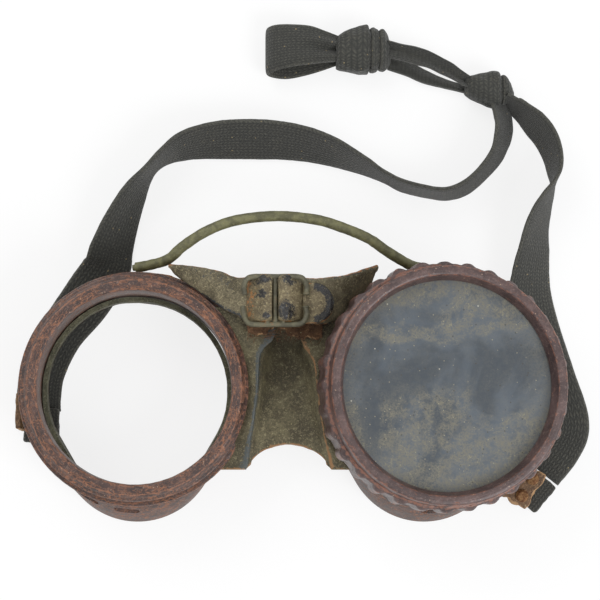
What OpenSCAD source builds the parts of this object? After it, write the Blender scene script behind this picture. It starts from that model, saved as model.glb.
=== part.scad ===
// Old round welding goggles lying face up: two moulded cups, a leather and wire nose bridge
// and a knotted head strap. The left cup is bare, the right one holds its lenses under a screw cap.
// Millimetres, +Z up, standing on z = 0, with the origin under the middle of the whole outline.

/* [Cups] */
// Distance from the middle of the nose gap to the centre of each lens seat
seat_x = 34.9; // [34:0.1:38]
// Height of the lens seats' centres above the table
seat_z = 25; // [22:0.5:30]
// Outward lean of the left cup's front, in degrees
lean_left = -2; // [-4:1:3]
// Outward lean of the right cup's front, in degrees
lean_right = 7; // [3:1:9]
// Radius of the bore through each neck
bore_r = 22; // [20:0.1:23]
// Width of the flat seat round the bore
seat_w = 2.6; // [2:0.1:3]
// Bevel from the seat down to the thread
face_bevel = 1.2; // [0.6:0.1:2]
// Radial step from the seat's edge to the thread's crests
thread_step = 1.3; // [0.8:0.1:2]
// Radial step from the thread to the shoulder ring
shoulder_step = 1.1; // [0.6:0.1:1.6]
// Height of the neck from the seat to the shoulder's underside
neck_h = 10; // [8:0.5:11]
// Thickness of the shoulder ring
shoulder_h = 2; // [1:0.1:3]
// Thickness of the moulded cup wall
wall = 2.2; // [1.6:0.1:3]
// Radius of the cheek lobe at the base
cheek_r = 18.4; // [15:0.1:20]
// Distance from the cup's centre down to the cheek lobe's centre
cheek_y = 12.4; // [8:0.1:15]
// Outward swell of the cheek wall between neck and base
cheek_swell = 0.8; // [0:0.1:2]
// Height by which the temple side of the base rim clears the table
rim_lift = 3.2; // [2.8:0.1:5]

/* [Vents] */
// Number of air slots low on the temple side of each cup
vent_count = 3; // [1:1:4]
// Length of an air slot
vent_l = 6; // [3:0.5:8]
// Height of an air slot
vent_h = 2.2; // [1:0.1:3]
// Angle between air slots
vent_step = 20; // [18:1:24]
// Height of the air slots above the table
vent_z = 8.5; // [7:0.5:10]

/* [Lenses and cap] */
// Thickness of the gasket ring under the lens
gasket_t = 1; // [0.5:0.1:2]
// Thickness of the dark filter lens
filter_t = 3; // [2:0.1:4]
// Thickness of the clear cover glass
cover_t = 1.5; // [1:0.1:3]
// Lens overlap beyond the seat's outer edge
lens_over = 0.4; // [0.1:0.1:0.6]
// Radial play of the lenses in the cap
lens_play = 0.3; // [0.1:0.1:0.5]
// Radial running clearance of the cap on the neck's thread
cap_play = 0.1; // [0.05:0.01:0.1]
// Wall of the cap outside the thread
cap_wall = 1.6; // [1.2:0.1:2.4]
// Depth of the cap's skirt below the lens seat
skirt_h = 5.5; // [4:0.1:6]
// Thickness of the cap's front flange
flange_t = 3.9; // [2:0.1:5]
// Radial step from the grip's root in to the flange
flange_step = 0.85; // [0.4:0.05:1.5]
// Width of the lip that laps over the lens
lip_w = 1.34; // [0.8:0.02:2]
// Outward flare of the flange's inner edge
lip_flare = 0.9; // [0.2:0.1:1.4]
// Number of grip lugs round the cap
lug_count = 32; // [16:1:40]
// Radius of a grip lug
lug_r = 1.9; // [1.2:0.1:2.2]
// Height by which a lug stands out of the grip's root
lug_out = 1; // [0.5:0.1:1.4]

/* [Leather on the cups] */
// Thickness of the leather band wrapped round a cup
wrap_t = 1.2; // [0.8:0.1:1.4]
// Thickness of the leather lining inside the base rim
lining_t = 1.2; // [0.8:0.1:2]
// Gap between a leather piece and what it lies on
lay_gap = 0.2; // [0.1:0.05:0.3]

/* [Bridge] */
// Middle of the double centre bar of the buckle, from the nose gap's middle
bar_x = -3; // [-4:0.1:-2]
// Height of the buckle's wire above the table
bar_z = 26.5; // [25:0.5:29]
// Middle of the buckle along the nose gap
bar_y = 19.5; // [18:0.1:22]
// Spacing of the two bars that carry the strap loops
bar_gap = 3.7; // [3.5:0.1:4.2]
// Radius of the buckle's wire
wire_r = 0.55; // [0.4:0.05:0.8]
// Length of the buckle frame
frame_l = 14.2; // [13.4:0.1:18]
// Width of the buckle frame across the straps
frame_w = 10.8; // [10.8:0.1:14]
// Corner radius of the buckle frame
frame_r = 2.4; // [1.5:0.1:3]
// Split in each outer leg of the buckle frame
leg_split = 2.4; // [1:0.1:3]
// Running clearance of the left strap's loop on its bar
loop_play = 0.08; // [0.04:0.01:0.1]
// Width of the bridge straps
strap_w = 9.4; // [7:0.1:9.4]
// Thickness of the bridge straps
strap_t = 1.3; // [0.8:0.1:1.6]
// Length of the strap tongue beyond the buckle frame
tongue_l = 6.2; // [3:0.1:7]
// Diameter of the stiff cord over the nose
cord_d = 2.5; // [1.5:0.1:3]

/* [Nose saddle] */
// Width of the saddle's turned-out front edges
saddle_lip = 1.6; // [1:0.1:2.4]
// Widening of each side of the saddle per millimetre down the nose
saddle_flare = 0.085; // [0.05:0.005:0.12]
// Height of the saddle's front edges at the top
saddle_z = 19.4; // [17:0.1:20]
// Height of the trough's floor at the top
trough_z = 9; // [6:0.5:12]
// Thickness of the saddle leather
saddle_t = 1.3; // [0.8:0.1:1.8]
// Depth of the arch cut into the saddle's lower edge
arch_depth = 6; // [3:0.5:8]

/* [Head strap] */
// Width of the woven head strap
web_w = 12; // [10:0.5:12.5]
// Thickness of the woven head strap
web_t = 1.2; // [0.8:0.1:1.4]
// Radius of the tab rivets' heads
rivet_r = 1.5; // [1:0.1:2]
// Height of the tab rivets' heads
rivet_h = 0.8; // [0.5:0.1:1.2]

/* [Hidden] */
$fn = 96;
// The origin's place in the frame of the nose gap and the lens seats
origin_x = 1.6;
origin_y = 28.6;
// Neck and cap radii, each from the bore outwards
face_r = bore_r + seat_w;
thread_r = face_r + thread_step;
shoulder_r = thread_r + shoulder_step;
body_r = bore_r + 0.4 + wall;
lens_r = face_r + lens_over;
pocket_r = lens_r + lens_play;
cap_bore_r = thread_r + cap_play;
grip_r = cap_bore_r + cap_wall;
flange_r = grip_r - flange_step;
sight_r = lens_r - lip_w;
// Film of air between pieces that bear on each other
film = 0.02;
stack_h = gasket_t + filter_t + cover_t + 3 * film;
// Steps round a cup and down its wall
wall_steps = 60;
wall_rings = 5;
// Place of the wall's hidden top edge inside the shoulder
wall_top = neck_h - 0.8;
// Span of the raised temple rim, anticlockwise from the temple
lift_from = -26;
lift_to = 76;
lift_ease = 16;
// Middle of the air slots, measured from the temple towards the cheek
vent_mid = -66;
// Span of the leather wrap and of its height on the wall
wrap_from = -24;
wrap_to = 196;
wrap_top = 0.12;
wrap_bottom = 0.66;
wrap_out = lay_gap + wrap_t;
// Buckle bars and legs
bar_left_x = bar_x - bar_gap / 2;
bar_right_x = bar_x + bar_gap / 2;
loop_bore_r = wire_r + loop_play;
loop_r = loop_bore_r + strap_t;
leg_left_x = bar_x - frame_l / 2;
leg_right_x = bar_x + frame_l / 2;
// Base centres of the cups
right_x = seat_x - seat_z * tan(lean_right);
left_x = -(seat_x - seat_z * tan(lean_left));

// Point at t from a to b
function mix(a, b, t) = a * (1 - t) + b * t;
// Smooth step from 0 to 1 as v goes from a to b
function ramp(v, a, b) = let (t = min(1, max(0, (v - a) / (b - a)))) t * t * (3 - 2 * t);
// Vector of length one
function unit(v) = v / norm(v);
// Height of the base rim at an angle
function rim_z(phi) = rim_lift * ramp(phi, lift_from - lift_ease, lift_from)
    * (1 - ramp(phi, lift_to, lift_to + lift_ease));
// Angle brought into the span from -90 to 270
function turned(phi) = phi >= 270 ? phi - 360 : phi;
// Point on a tilted circle about the cup's axis, at height w from the seat
function ring_pt(lean, w, r, phi) = [
    seat_x + w * sin(lean) + r * cos(phi) * cos(lean),
    r * sin(phi),
    seat_z + w * cos(lean) - r * cos(phi) * sin(lean)];
// Point on the base rim: the farther reaching of the round cup and its cheek lobe
function rim_pt(lean, phi, inset) = let (
    cx = seat_x - seat_z * tan(lean),
    lobe = cheek_r - cheek_y * sin(phi) > body_r,
    r = (lobe ? cheek_r : body_r) - inset,
    cy = lobe ? -cheek_y : 0)
    [cx + r * cos(phi), cy + r * sin(phi), rim_z(turned(phi))];
// Point on the cup's wall, from the neck at t = 0 to the base at t = 1
function wall_pt(lean, t, phi, inset) = let (
    swell = cheek_swell * sin(180 * t) * max(0, -sin(phi)),
    p = mix(ring_pt(lean, -wall_top, body_r - inset, phi), rim_pt(lean, phi, inset), t))
    p + swell * [cos(phi), sin(phi), 0];
// Cross-section of a shell on the wall, down its outer face and back up its inner one
function wall_section(lean, phi, t0, t1, outer, inner) = concat(
    [for (k = [0:wall_rings]) wall_pt(lean, mix(t0, t1, k / wall_rings), phi, outer)],
    [for (k = [wall_rings:-1:0]) wall_pt(lean, mix(t0, t1, k / wall_rings), phi, inner)]);
// Smooth curve through a route's points, with three steps from each point to the next
function curve(route, steps = 3) = let (n = len(route)) [
    for (i = [0:n - 2], s = [0:(i == n - 2 ? steps : steps - 1)]) let (
        t = s / steps,
        a = route[max(0, i - 1)], b = route[i], c = route[i + 1], d = route[min(n - 1, i + 2)])
        0.5 * (2 * b + (c - a) * t + (2 * a - 5 * b + 4 * c - d) * t * t
            + (3 * b - a - 3 * c + d) * t * t * t)];
function place(p) = [p[0], p[1], p[2]];
// Direction of a route at point i
function heading(route, i) = unit(place(route[min(i + 1, len(route) - 1)]) - place(route[max(i - 1, 0)]));
// Cross-section of a flat band at point i: x, y, z, twist and width
function band_section(route, i, thick, side) = let (
    d = heading(route, i),
    across = len(side) == 3 ? side : unit(cross([0, 0, 1], d)),
    up = cross(d, across),
    tw = route[i][3],
    w = (across * cos(tw) + up * sin(tw)) * route[i][4] / 2,
    n = (up * cos(tw) - across * sin(tw)) * thick / 2,
    p = place(route[i]))
    [for (q = [p + w + n, p - w + n, p - w - n, p + w - n]) [q[0], q[1], max(0, q[2])]];
// Cross-section of a round cord at point i
function cord_section(route, i, r, sides) = let (
    d = heading(route, i),
    across = unit(cross([0, 0, 1], d)),
    up = cross(d, across))
    [for (k = [0:sides - 1]) place(route[i]) + r * (across * cos(360 * k / sides) + up * sin(360 * k / sides))];

// Solid skinned over closed sections, joined end to end or capped
module skin(sections, closed = false) {
    n = len(sections);
    m = len(sections[0]);
    points = [for (s = sections) each s];
    sides = [for (i = [0:(closed ? n - 1 : n - 2)], j = [0:m - 1]) let (
        a = i * m + j,
        b = i * m + (j + 1) % m,
        c = ((i + 1) % n) * m + (j + 1) % m,
        d = ((i + 1) % n) * m + j)
        each [[a, c, b], [a, d, c]]];
    e = (n - 1) * m;
    caps = closed ? [] : [for (k = [0:m / 2 - 2]) each [
        [k, m - 2 - k, m - 1 - k], [k, k + 1, m - 2 - k],
        [e + k, e + m - 1 - k, e + m - 2 - k], [e + k, e + m - 2 - k, e + k + 1]]];
    polyhedron(points = points, faces = concat(sides, caps), convexity = 8);
}
module band(route, thick, side = []) {
    skin([for (i = [0:len(route) - 1]) band_section(route, i, thick, side)]);
}
module round_cord(route, r, sides = 8) {
    skin([for (i = [0:len(route) - 1]) cord_section(route, i, r, sides)]);
}
// The whole object's frame
module in_frame() {
    translate([-origin_x, -origin_y, 0]) children();
}
module left_side() {
    mirror([1, 0, 0]) children();
}
// Frame of a cup's neck: the seat's centre, +Z out of the front
module on_seat(lean) {
    translate([seat_x, 0, seat_z]) rotate([0, lean, 0]) children();
}
// Shell on a cup's wall between two angles, or all the way round
module wall_shell(lean, t0, t1, outer, inner, from = 0, to = 360) {
    full = to - from >= 360;
    steps = full ? wall_steps : ceil(wall_steps * (to - from) / 360);
    skin([for (i = [0:(full ? steps - 1 : steps)])
        wall_section(lean, from + (to - from) * i / steps, t0, t1, outer, inner)], full);
}

// Neck with its seat, bevel, thread land and shoulder
module neck(lean) {
    on_seat(lean) rotate_extrude() polygon([
        [bore_r, 0], [face_r, 0], [thread_r, -face_bevel],
        [thread_r, shoulder_h - neck_h], [shoulder_r - 0.3, shoulder_h - neck_h],
        [shoulder_r, shoulder_h - neck_h - 0.3], [shoulder_r, -neck_h + 0.3],
        [shoulder_r - 0.3, -neck_h], [bore_r, -neck_h]]);
}
// Round-ended air slot cut through the wall at an angle
module vent(lean, phi) {
    translate([seat_x - seat_z * tan(lean), 0, vent_z]) rotate([0, 0, phi]) {
        for (end = [-1, 1]) {
            translate([0, end * (vent_l - vent_h) / 2, 0]) rotate([0, 90, 0]) cylinder(r = vent_h / 2, h = 45);
        }
        translate([0, -(vent_l - vent_h) / 2, -vent_h / 2]) cube([45, vent_l - vent_h, vent_h]);
    }
}
module eyecup(lean) {
    difference() {
        union() {
            neck(lean);
            wall_shell(lean, 0, 1, 0, wall);
        }
        for (i = [0:vent_count - 1]) {
            vent(lean, vent_mid + (i - (vent_count - 1) / 2) * vent_step);
        }
    }
}
module rim_lining(lean) {
    wall_shell(lean, 0.66, 0.96, wall + lay_gap, wall + lay_gap + lining_t);
}
module leather_wrap(lean) {
    wall_shell(lean, wrap_top, wrap_bottom, -wrap_out, -lay_gap, wrap_from, wrap_to);
}

module eyecup_right() color("#6b3a2e") in_frame() eyecup(lean_right);
module rim_lining_right() color("#5b5a45") in_frame() rim_lining(lean_right);
module leather_wrap_right() color("#5a5742") in_frame() leather_wrap(lean_right);
module eyecup_left() color("#6b3a2e") in_frame() left_side() eyecup(lean_left);
module rim_lining_left() color("#5b5a45") in_frame() left_side() rim_lining(lean_left);
module leather_wrap_left() color("#5a5742") in_frame() left_side() leather_wrap(lean_left);

// Stack on the right seat: gasket, filter lens and cover glass
module disc(w, t, r) {
    on_seat(lean_right) translate([0, 0, w]) cylinder(r = r, h = t);
}
module lens_gasket_right() color("#3a3630") in_frame() difference() {
    disc(film, gasket_t, lens_r);
    disc(film - 1, gasket_t + 2, bore_r);
}
module filter_lens_right() color("#3d4650") in_frame() disc(gasket_t + 2 * film, filter_t, lens_r);
module cover_glass_right() color("#5e6a73") in_frame() disc(gasket_t + filter_t + 3 * film, cover_t, lens_r);

// Screw cap: a lugged grip with a flared flange over the lens
module cap_profile() {
    front = stack_h + film + flange_t;
    polygon([
        [cap_bore_r, -skirt_h], [grip_r - 0.4, -skirt_h], [grip_r, -skirt_h + 0.4],
        [grip_r, stack_h - 0.6], [grip_r - 0.4, stack_h + film], [flange_r, stack_h + film],
        [flange_r, front - 0.8], [flange_r - 0.8, front], [sight_r + lip_flare, front],
        [sight_r, stack_h + film + 0.8], [sight_r, stack_h + film],
        [pocket_r, stack_h + film], [pocket_r, -film], [cap_bore_r, -film - 0.7]]);
}
module lens_cap_right() color("#5e3226") in_frame() on_seat(lean_right) {
    rotate_extrude() cap_profile();
    difference() {
        for (i = [0:lug_count - 1]) {
            rotate([0, 0, 360 * i / lug_count]) translate([grip_r + lug_out - lug_r, 0, -skirt_h + 0.3])
                cylinder(r = lug_r, h = skirt_h + stack_h - 0.8, $fn = 24);
        }
        translate([0, 0, -skirt_h - 1]) cylinder(r = grip_r - 0.3, h = skirt_h + stack_h + 2);
    }
}

// Wire frame of the buckle with two loop bars, a middle bar and split outer legs
mid_bar_w = 1;
mid_bar_t = 0.8;
module rod_y(x, y0, y1) {
    translate([x, y0, bar_z]) rotate([-90, 0, 0]) cylinder(r = wire_r, h = y1 - y0, $fn = 24);
}
module rod_x(y, x0, x1) {
    translate([x0, y, bar_z]) rotate([0, 90, 0]) cylinder(r = wire_r, h = x1 - x0, $fn = 24);
}
module corner(x, y, turn) {
    translate([x, y, bar_z]) rotate([0, 0, turn]) rotate_extrude(angle = 90, $fn = 48)
        translate([frame_r, 0]) circle(r = wire_r, $fn = 24);
}
module buckle_frame() color("#5d5c46") in_frame() {
    half = frame_w / 2;
    for (s = [-1, 1]) {
        rod_x(bar_y + s * half, leg_left_x + frame_r, leg_right_x - frame_r);
        corner(leg_left_x + frame_r, bar_y + s * (half - frame_r), s > 0 ? 90 : 180);
        corner(leg_right_x - frame_r, bar_y + s * (half - frame_r), s > 0 ? 0 : 270);
    }
    for (x = [leg_left_x, leg_right_x]) {
        rod_y(x, bar_y - half + frame_r, bar_y - leg_split / 2);
        rod_y(x, bar_y + leg_split / 2, bar_y + half - frame_r);
    }
    translate([leg_right_x, bar_y + leg_split / 2, bar_z]) sphere(r = wire_r + 0.25, $fn = 24);
    reach = half - 0.2;
    rod_y(bar_left_x, bar_y - reach, bar_y + reach);
    rod_y(bar_right_x, bar_y - reach, bar_y + reach);
    translate([bar_x - mid_bar_w / 2, bar_y - reach, bar_z - mid_bar_t / 2])
        cube([mid_bar_w, 2 * reach, mid_bar_t]);
}
// Strap end folded over a bar, its foot sloping away and down to one side
foot_drop = 2.6;
foot_l = 4.4;
// Gap between a loop and the middle bar
mid_gap = 0.15;
module bar_loop() {
    rotate([-90, 0, 0]) linear_extrude(strap_w) difference() {
        intersection() {
            union() {
                circle(r = loop_r, $fn = 48);
                polygon([[0.2, 0.2 - loop_r], [foot_l, foot_drop - strap_t], [foot_l, foot_drop + strap_t],
                    [0.2, loop_r - 0.2]]);
            }
            translate([wire_r + mid_gap - bar_gap / 2, -10]) square([20, 20]);
        }
        circle(r = loop_bore_r, $fn = 48);
    }
}
module bridge_loop_left() color("#5f5f49") in_frame()
    translate([bar_left_x, bar_y - strap_w / 2, bar_z]) mirror([1, 0, 0]) bar_loop();
module bridge_loop_right() color("#4a4a3c") in_frame()
    translate([bar_right_x, bar_y - strap_w / 2, bar_z]) bar_loop();
// Height of the straps' middle where they leave their loops' feet
foot_z = bar_z - foot_drop;
// Point beside a cup's shoulder ring, at an angle, a distance outside it and a height
function beside(lean, phi, out, z) = [
    seat_x - (neck_h - shoulder_h / 2) * sin(lean) + (shoulder_r + out) * cos(phi), (shoulder_r + out) * sin(phi), z];
// Route of a bridge strap from its loop's foot down to the side of a cup
function strap_route(lean, foot_x, rise, slim) = let (
    a = beside(lean, 124, 2.9 + strap_t / 2, bar_z - 10.2),
    b = beside(lean, 113, 1.7 + strap_t / 2, bar_z - 14.5),
    c = beside(lean, 105, 0.7 + strap_t / 2, bar_z - 16.8)) [
    [foot_x, bar_y, foot_z, 0, strap_w],
    [foot_x + 2.2, bar_y + 0.3 + 0.2 * slim, foot_z - 1, -4, strap_w - 0.9 - slim],
    [foot_x + 5, bar_y + rise, foot_z - 3.6, -20, strap_w - 1.9 - slim],
    [a[0], a[1], a[2], -48, strap_w - 1.2],
    [b[0], b[1], b[2], -74, strap_w - 1.9],
    [c[0], c[1], c[2], -84, strap_w - 2.9]];
module bridge_strap_right() color("#605e46") in_frame()
    band(curve(strap_route(lean_right, bar_right_x + foot_l + 0.6, 1.6, 0)), strap_t);
module bridge_strap_left() color("#605e46") in_frame() left_side()
    band(curve(strap_route(lean_left, -bar_left_x + foot_l + 0.5, 3.4, 0.6)), strap_t);
// Free end of the right strap, under the frame's leg and along the strap
tongue_t = 1;
tongue_drop = 0.5;
module bridge_tongue() color("#565640") in_frame() {
    top = bar_z - wire_r - 0.25;
    r = strap_w / 2 - 0.1;
    start_x = bar_right_x + foot_l + 0.1;
    end_x = leg_right_x + tongue_l;
    translate([0, 0, top - tongue_t]) linear_extrude(tongue_t) intersection() {
        hull() {
            translate([end_x - r, bar_y - tongue_drop]) circle(r = r);
            translate([start_x - r, bar_y - tongue_drop]) circle(r = r);
        }
        translate([start_x, 0]) square([end_x - start_x, 2 * bar_y]);
    }
}
// Frayed leather strip under the buckle
backing_l = 17;
backing_w = 4.2;
backing_t = 1.2;
module bridge_backing() color("#4a3c2c") in_frame()
    translate([saddle_mid - backing_l / 2, saddle_top - 1.6, saddle_z + saddle_t / 2 + lay_gap])
        cube([backing_l, backing_w, backing_t]);

// Stiff cord arched over the nose, its ends laid along the tops of the cups
cord_r = cord_d / 2;
function cord_end(lean, phi, t) = wall_pt(lean, t, phi, body_r - shoulder_r - lay_gap - cord_r);
cord_left = cord_end(lean_left, 88, 0.3);
cord_right = cord_end(lean_right, 94, 0.3);
cord_route = [
    [-cord_left[0], cord_left[1], cord_left[2]],
    [-cord_left[0] + 4, cord_left[1] + 0.6, cord_left[2] + 1.2],
    [-28, 30.1, 15], [-24.4, 33, 16.5], [-18.9, 36.4, 17.5], [-12.2, 38.8, 18], [-3, 39.8, 18],
    [6.1, 39, 18], [12.2, 37.2, 18], [18.3, 34.7, 17.5], [22.4, 32, 16.5], [25.9, 30, 15],
    [cord_right[0] - 2.6, cord_right[1] + 0.5, cord_right[2] + 1.2],
    cord_right];
module brow_cord() color("#5c5c40") in_frame() round_cord(curve(cord_route), cord_r, 8);

// Nose saddle: a trough with turned-out front edges, cut to an arch below
saddle_top = 12.4;
saddle_low = -12.6;
saddle_cols = 12;
saddle_rows = 8;
// Free ring round the left cup's thread, where a cap screws on
cap_room = 0.6;
// Room for the saddle between the left cup's thread and the right cup's shoulder
nose_left = -ring_pt(lean_left, 2 * shoulder_h - neck_h, thread_r + cap_room, 180)[0];
nose_right = ring_pt(lean_right, -neck_h, shoulder_r, 180)[0];
saddle_mid = (nose_left + nose_right) / 2;
saddle_half = (nose_right - nose_left) / 2 - 1.75 * lay_gap - saddle_lip;
saddle_bend = 0.72;
// Point of the trough's middle layer, at u from -1 to 1 across it and v from 0 to 1 down the nose
function saddle_pt(u, v) = let (
    a = abs(u),
    share = min(1, a / saddle_bend),
    y = mix(saddle_top, saddle_low - arch_depth * pow(share, 1.7), v),
    half = (saddle_half - saddle_flare * y) * share,
    lip = saddle_lip * max(0, (a - saddle_bend) / (1 - saddle_bend)),
    edge = saddle_z - 4 * v * v,
    floor_z = trough_z + 4 * v,
    skew = 0.08 * max(0, -6 - y))
    [saddle_mid + skew + sign(u) * (half + lip), y, mix(edge, floor_z, 1 - pow(share, 2.4))];
function saddle_face(v, lift) = [for (i = [0:saddle_cols]) let (
    u = 2 * i / saddle_cols - 1,
    along = saddle_pt(min(1, u + 0.04), v) - saddle_pt(max(-1, u - 0.04), v),
    n = unit([-along[2], 0, along[0]]))
    saddle_pt(u, v) + n * lift];
function reversed(list) = [for (i = [len(list) - 1:-1:0]) list[i]];
module nose_saddle() color("#5e5b44") in_frame() skin([for (j = [saddle_rows:-1:0])
    concat(saddle_face(j / saddle_rows, saddle_t / 2), reversed(saddle_face(j / saddle_rows, -saddle_t / 2)))]);

// Leather tabs that hold the head strap's folded ends, with their rivets
tab_t = 1.4;
tab_w = 9.5;
tab_bend = 1;
end_top = 2 * web_t + 0.1;
end_l = 8;
// Tab bent like an L: its leg stands in the plane x = 0, its foot runs out along +X over the strap
module tab(leg, foot) {
    translate([0, tab_w / 2, end_top + 0.15]) rotate([90, 0, 0]) linear_extrude(tab_w) {
        translate([0, tab_bend + tab_t]) square([tab_t, leg - tab_bend - tab_t]);
        translate([tab_bend + tab_t, 0]) square([foot - tab_bend - tab_t, tab_t]);
        intersection() {
            translate([tab_bend + tab_t, tab_bend + tab_t]) difference() {
                circle(r = tab_bend + tab_t, $fn = 48);
                circle(r = tab_bend, $fn = 48);
            }
            square(tab_bend + tab_t);
        }
    }
}
module rivet_pair(x, spread) {
    for (y = [-spread, spread]) {
        translate([x, y, end_top + 0.17 + tab_t]) {
            cylinder(r = rivet_r, h = rivet_h * 0.5);
            translate([0, 0, rivet_h * 0.5]) cylinder(r1 = rivet_r, r2 = rivet_r * 0.6, h = rivet_h * 0.5);
        }
    }
}
// The left tab stands on the temple side of the wrap
tab_left_foot = 6;
module at_left_tab() {
    translate([-left_x + body_r + wrap_out + lay_gap, -7.5, 0]) children();
}
module strap_tab_left() color("#4c3a2a") in_frame() left_side() at_left_tab() tab(8, tab_left_foot);
module tab_rivets_left() color("#5a3524") in_frame() left_side() at_left_tab()
    rivet_pair(tab_left_foot - rivet_r - 0.3, tab_w / 4);
module strap_end_left() color("#2f2f2b") in_frame() left_side()
    translate([-left_x + body_r + 6 - web_w, -4 - end_l, 0]) cube([web_w, end_l, end_top]);
// The right tab leaves the cheek side of the wall at an angle, and the strap's end lies turned under it
tab_turn = -32;
tab_right_foot = 8.5;
tab_shift = 10.5;
end_turn = -8;
end_inset = 2.6;
// Reach of the right wall along the tab's own direction, at its round neck or at its cheek lobe
neck_reach = ring_pt(lean_right, -wall_top, body_r, 0)[0] * cos(tab_turn) + body_r * (1 - cos(tab_turn));
lobe_reach = right_x * cos(tab_turn) + cheek_y * sin(-tab_turn) + cheek_r + cheek_swell;
tab_reach = max(neck_reach, lobe_reach) + lay_gap;
module at_right_tab() {
    rotate([0, 0, tab_turn]) translate([tab_reach, tab_shift, 0]) children();
}
module strap_tab_right() color("#5a3e2a") in_frame() at_right_tab() tab(5, tab_right_foot);
module tab_rivets_right() color("#5a3524") in_frame() at_right_tab()
    rivet_pair(tab_right_foot - rivet_r - 0.8, tab_w / 4);
module strap_end_right() color("#2f2f2b") in_frame() at_right_tab()
    translate([tab_right_foot - end_inset, 0.6, 0]) rotate([0, 0, end_turn])
        translate([-web_w / 2, -end_l / 2, 0]) cube([web_w, end_l, end_top]);

// Head strap lying on the table, each point with its twist and width
web_z = web_t / 2;
// Where the runs leave the folded ends, a small gap beyond their edges
end_gap = 0.3;
function spun(p, turn) = [p[0] * cos(turn) - p[1] * sin(turn), p[0] * sin(turn) + p[1] * cos(turn)];
right_start = spun([tab_reach + tab_right_foot - end_inset, tab_shift + 0.6]
    + spun([0, end_l / 2 + end_gap + 0.1], end_turn), tab_turn);
// Height of the strap's middle where it is twisted and stands on one edge
function edge_z(tw) = web_w / 2 * sin(tw) + web_t / 2 * abs(cos(tw));
// Route point of the strap where it leans on its lower edge, at full width
function leaning(x, y, tw) = [x, y, edge_z(tw), tw, web_w];
left_route = [
    [left_x - body_r - 6 + web_w / 2, end_gap - 3.8, web_z, 0, web_w],
    [left_x - body_r - 6 + web_w / 2, -1.4, web_z, 0, web_w],
    [left_x - 23.8, 5, web_z, 0, web_w],
    [left_x - 21, 14, web_z, 0, web_w],
    leaning(left_x - 15.4, 22.4, 8),
    leaning(-44, 29.6, 24),
    leaning(-42.2, 33.4, 38),
    leaning(-40, 39.6, 52),
    leaning(-36.7, 46.8, 68),
    leaning(-33.4, 51.9, 84),
    leaning(-30.2, 55.2, 82),
    leaning(-25.7, 57.9, 67),
    leaning(-20.8, 59.2, 57),
    leaning(-15, 59.8, 49),
    leaning(-8.4, 59.9, 47),
    leaning(-2.1, 59.6, 50),
    leaning(4.2, 58.6, 56),
    leaning(10.2, 56.8, 64),
    leaning(16.9, 53.8, 77),
    leaning(22.5, 50.8, 87),
    leaning(27.5, 48.4, 86),
    leaning(34.7, 46.8, 86),
    leaning(38.6, 46.9, 83),
    leaning(42.5, 48.6, 80),
    leaning(46.3, 52.1, 78),
    leaning(49.2, 55.9, 74),
    leaning(50.5, 59.5, 69),
    [51.1, 63, 5.1, 62, 10.5],
    [50.9, 65.4, 4, 58, 7.5]];
right_route = [
    [right_start[0], right_start[1], web_z, 0, web_w],
    [right_x + 31.8, -12.6, web_z, 0, web_w],
    [right_x + 33.4, -7, web_z, 0, web_w],
    [right_x + 30, 4, web_z, 0, web_w],
    leaning(right_x + 26.6, 15, 7),
    leaning(57.2, 22, 25),
    leaning(57.3, 27.7, 37),
    leaning(58, 33.1, 47),
    leaning(58.7, 38.3, 57),
    leaning(59.9, 42.4, 65),
    leaning(61.1, 45.3, 73),
    leaning(62.6, 48.6, 84),
    leaning(63.1, 52.3, 99),
    leaning(62.5, 56.5, 105),
    leaning(60.8, 60.4, 109),
    leaning(58.4, 63.4, 109),
    [56, 65.7, 5.5, 107, 10.5],
    [54.2, 67.5, 4.3, 105, 8]];
module head_strap_left() color("#2f2f2b") in_frame() band(curve(left_route), web_t);
module head_strap_right() color("#2f2f2b") in_frame() band(curve(right_route), web_t);

// Knot: a rounded lump between two points with raised turns of strap round it
function knot_section(a, b, half_w, half_h, s, turns) = let (
    d = unit(b - a),
    side = unit(cross([0, 0, 1], d)),
    body = 0.55 + 0.45 * pow(sin(180 * (0.1 + 0.8 * s)), 0.8),
    ridge = 1 + 0.1 * pow(abs(sin(180 * turns * s)), 0.6),
    p = mix(a, b, s))
    [for (k = [0:13]) let (f = 360 * k / 14, q = p + side * half_w * body * ridge * cos(f)
        + [0, 0, half_h * body * ridge * sin(f)]) [q[0], q[1], max(0.05, q[2])]];
module knot(a, b, half_w, half_h, turns) {
    skin([for (i = [0:12]) knot_section(a, b, half_w, half_h, i / 12, turns)]);
}
lower_a = [52.4, 68.9, 4];
lower_b = [43.2, 74.9, 4];
upper_a = [24.4, 80.8, 4.4];
upper_b = [11.6, 82.8, 4.4];
module strap_knot_lower() color("#33332e") in_frame() knot(lower_a, lower_b, 4.4, 3.8, 2);
module strap_knot_upper() color("#33332e") in_frame() knot(upper_a, upper_b, 5.3, 4.2, 3);
// Two plies between the knots
module strap_ply_upper() color("#2f2f2b") in_frame()
    band(curve([[42.6, 77, 4.8, 35, 3.4], [38, 80, 4.6, 40, 4.6], [32, 82.1, 4.2, 35, 5], [25, 83, 4.8, 30, 4.2]]), web_t);
module strap_ply_lower() color("#2f2f2b") in_frame()
    band(curve([[41.9, 73.9, 3, -35, 3.2], [37, 74.8, 2.4, -40, 4.6], [31, 76.6, 2.4, -38, 5], [24.9, 78.6, 3.4, -30, 4.2]]), web_t);
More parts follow.
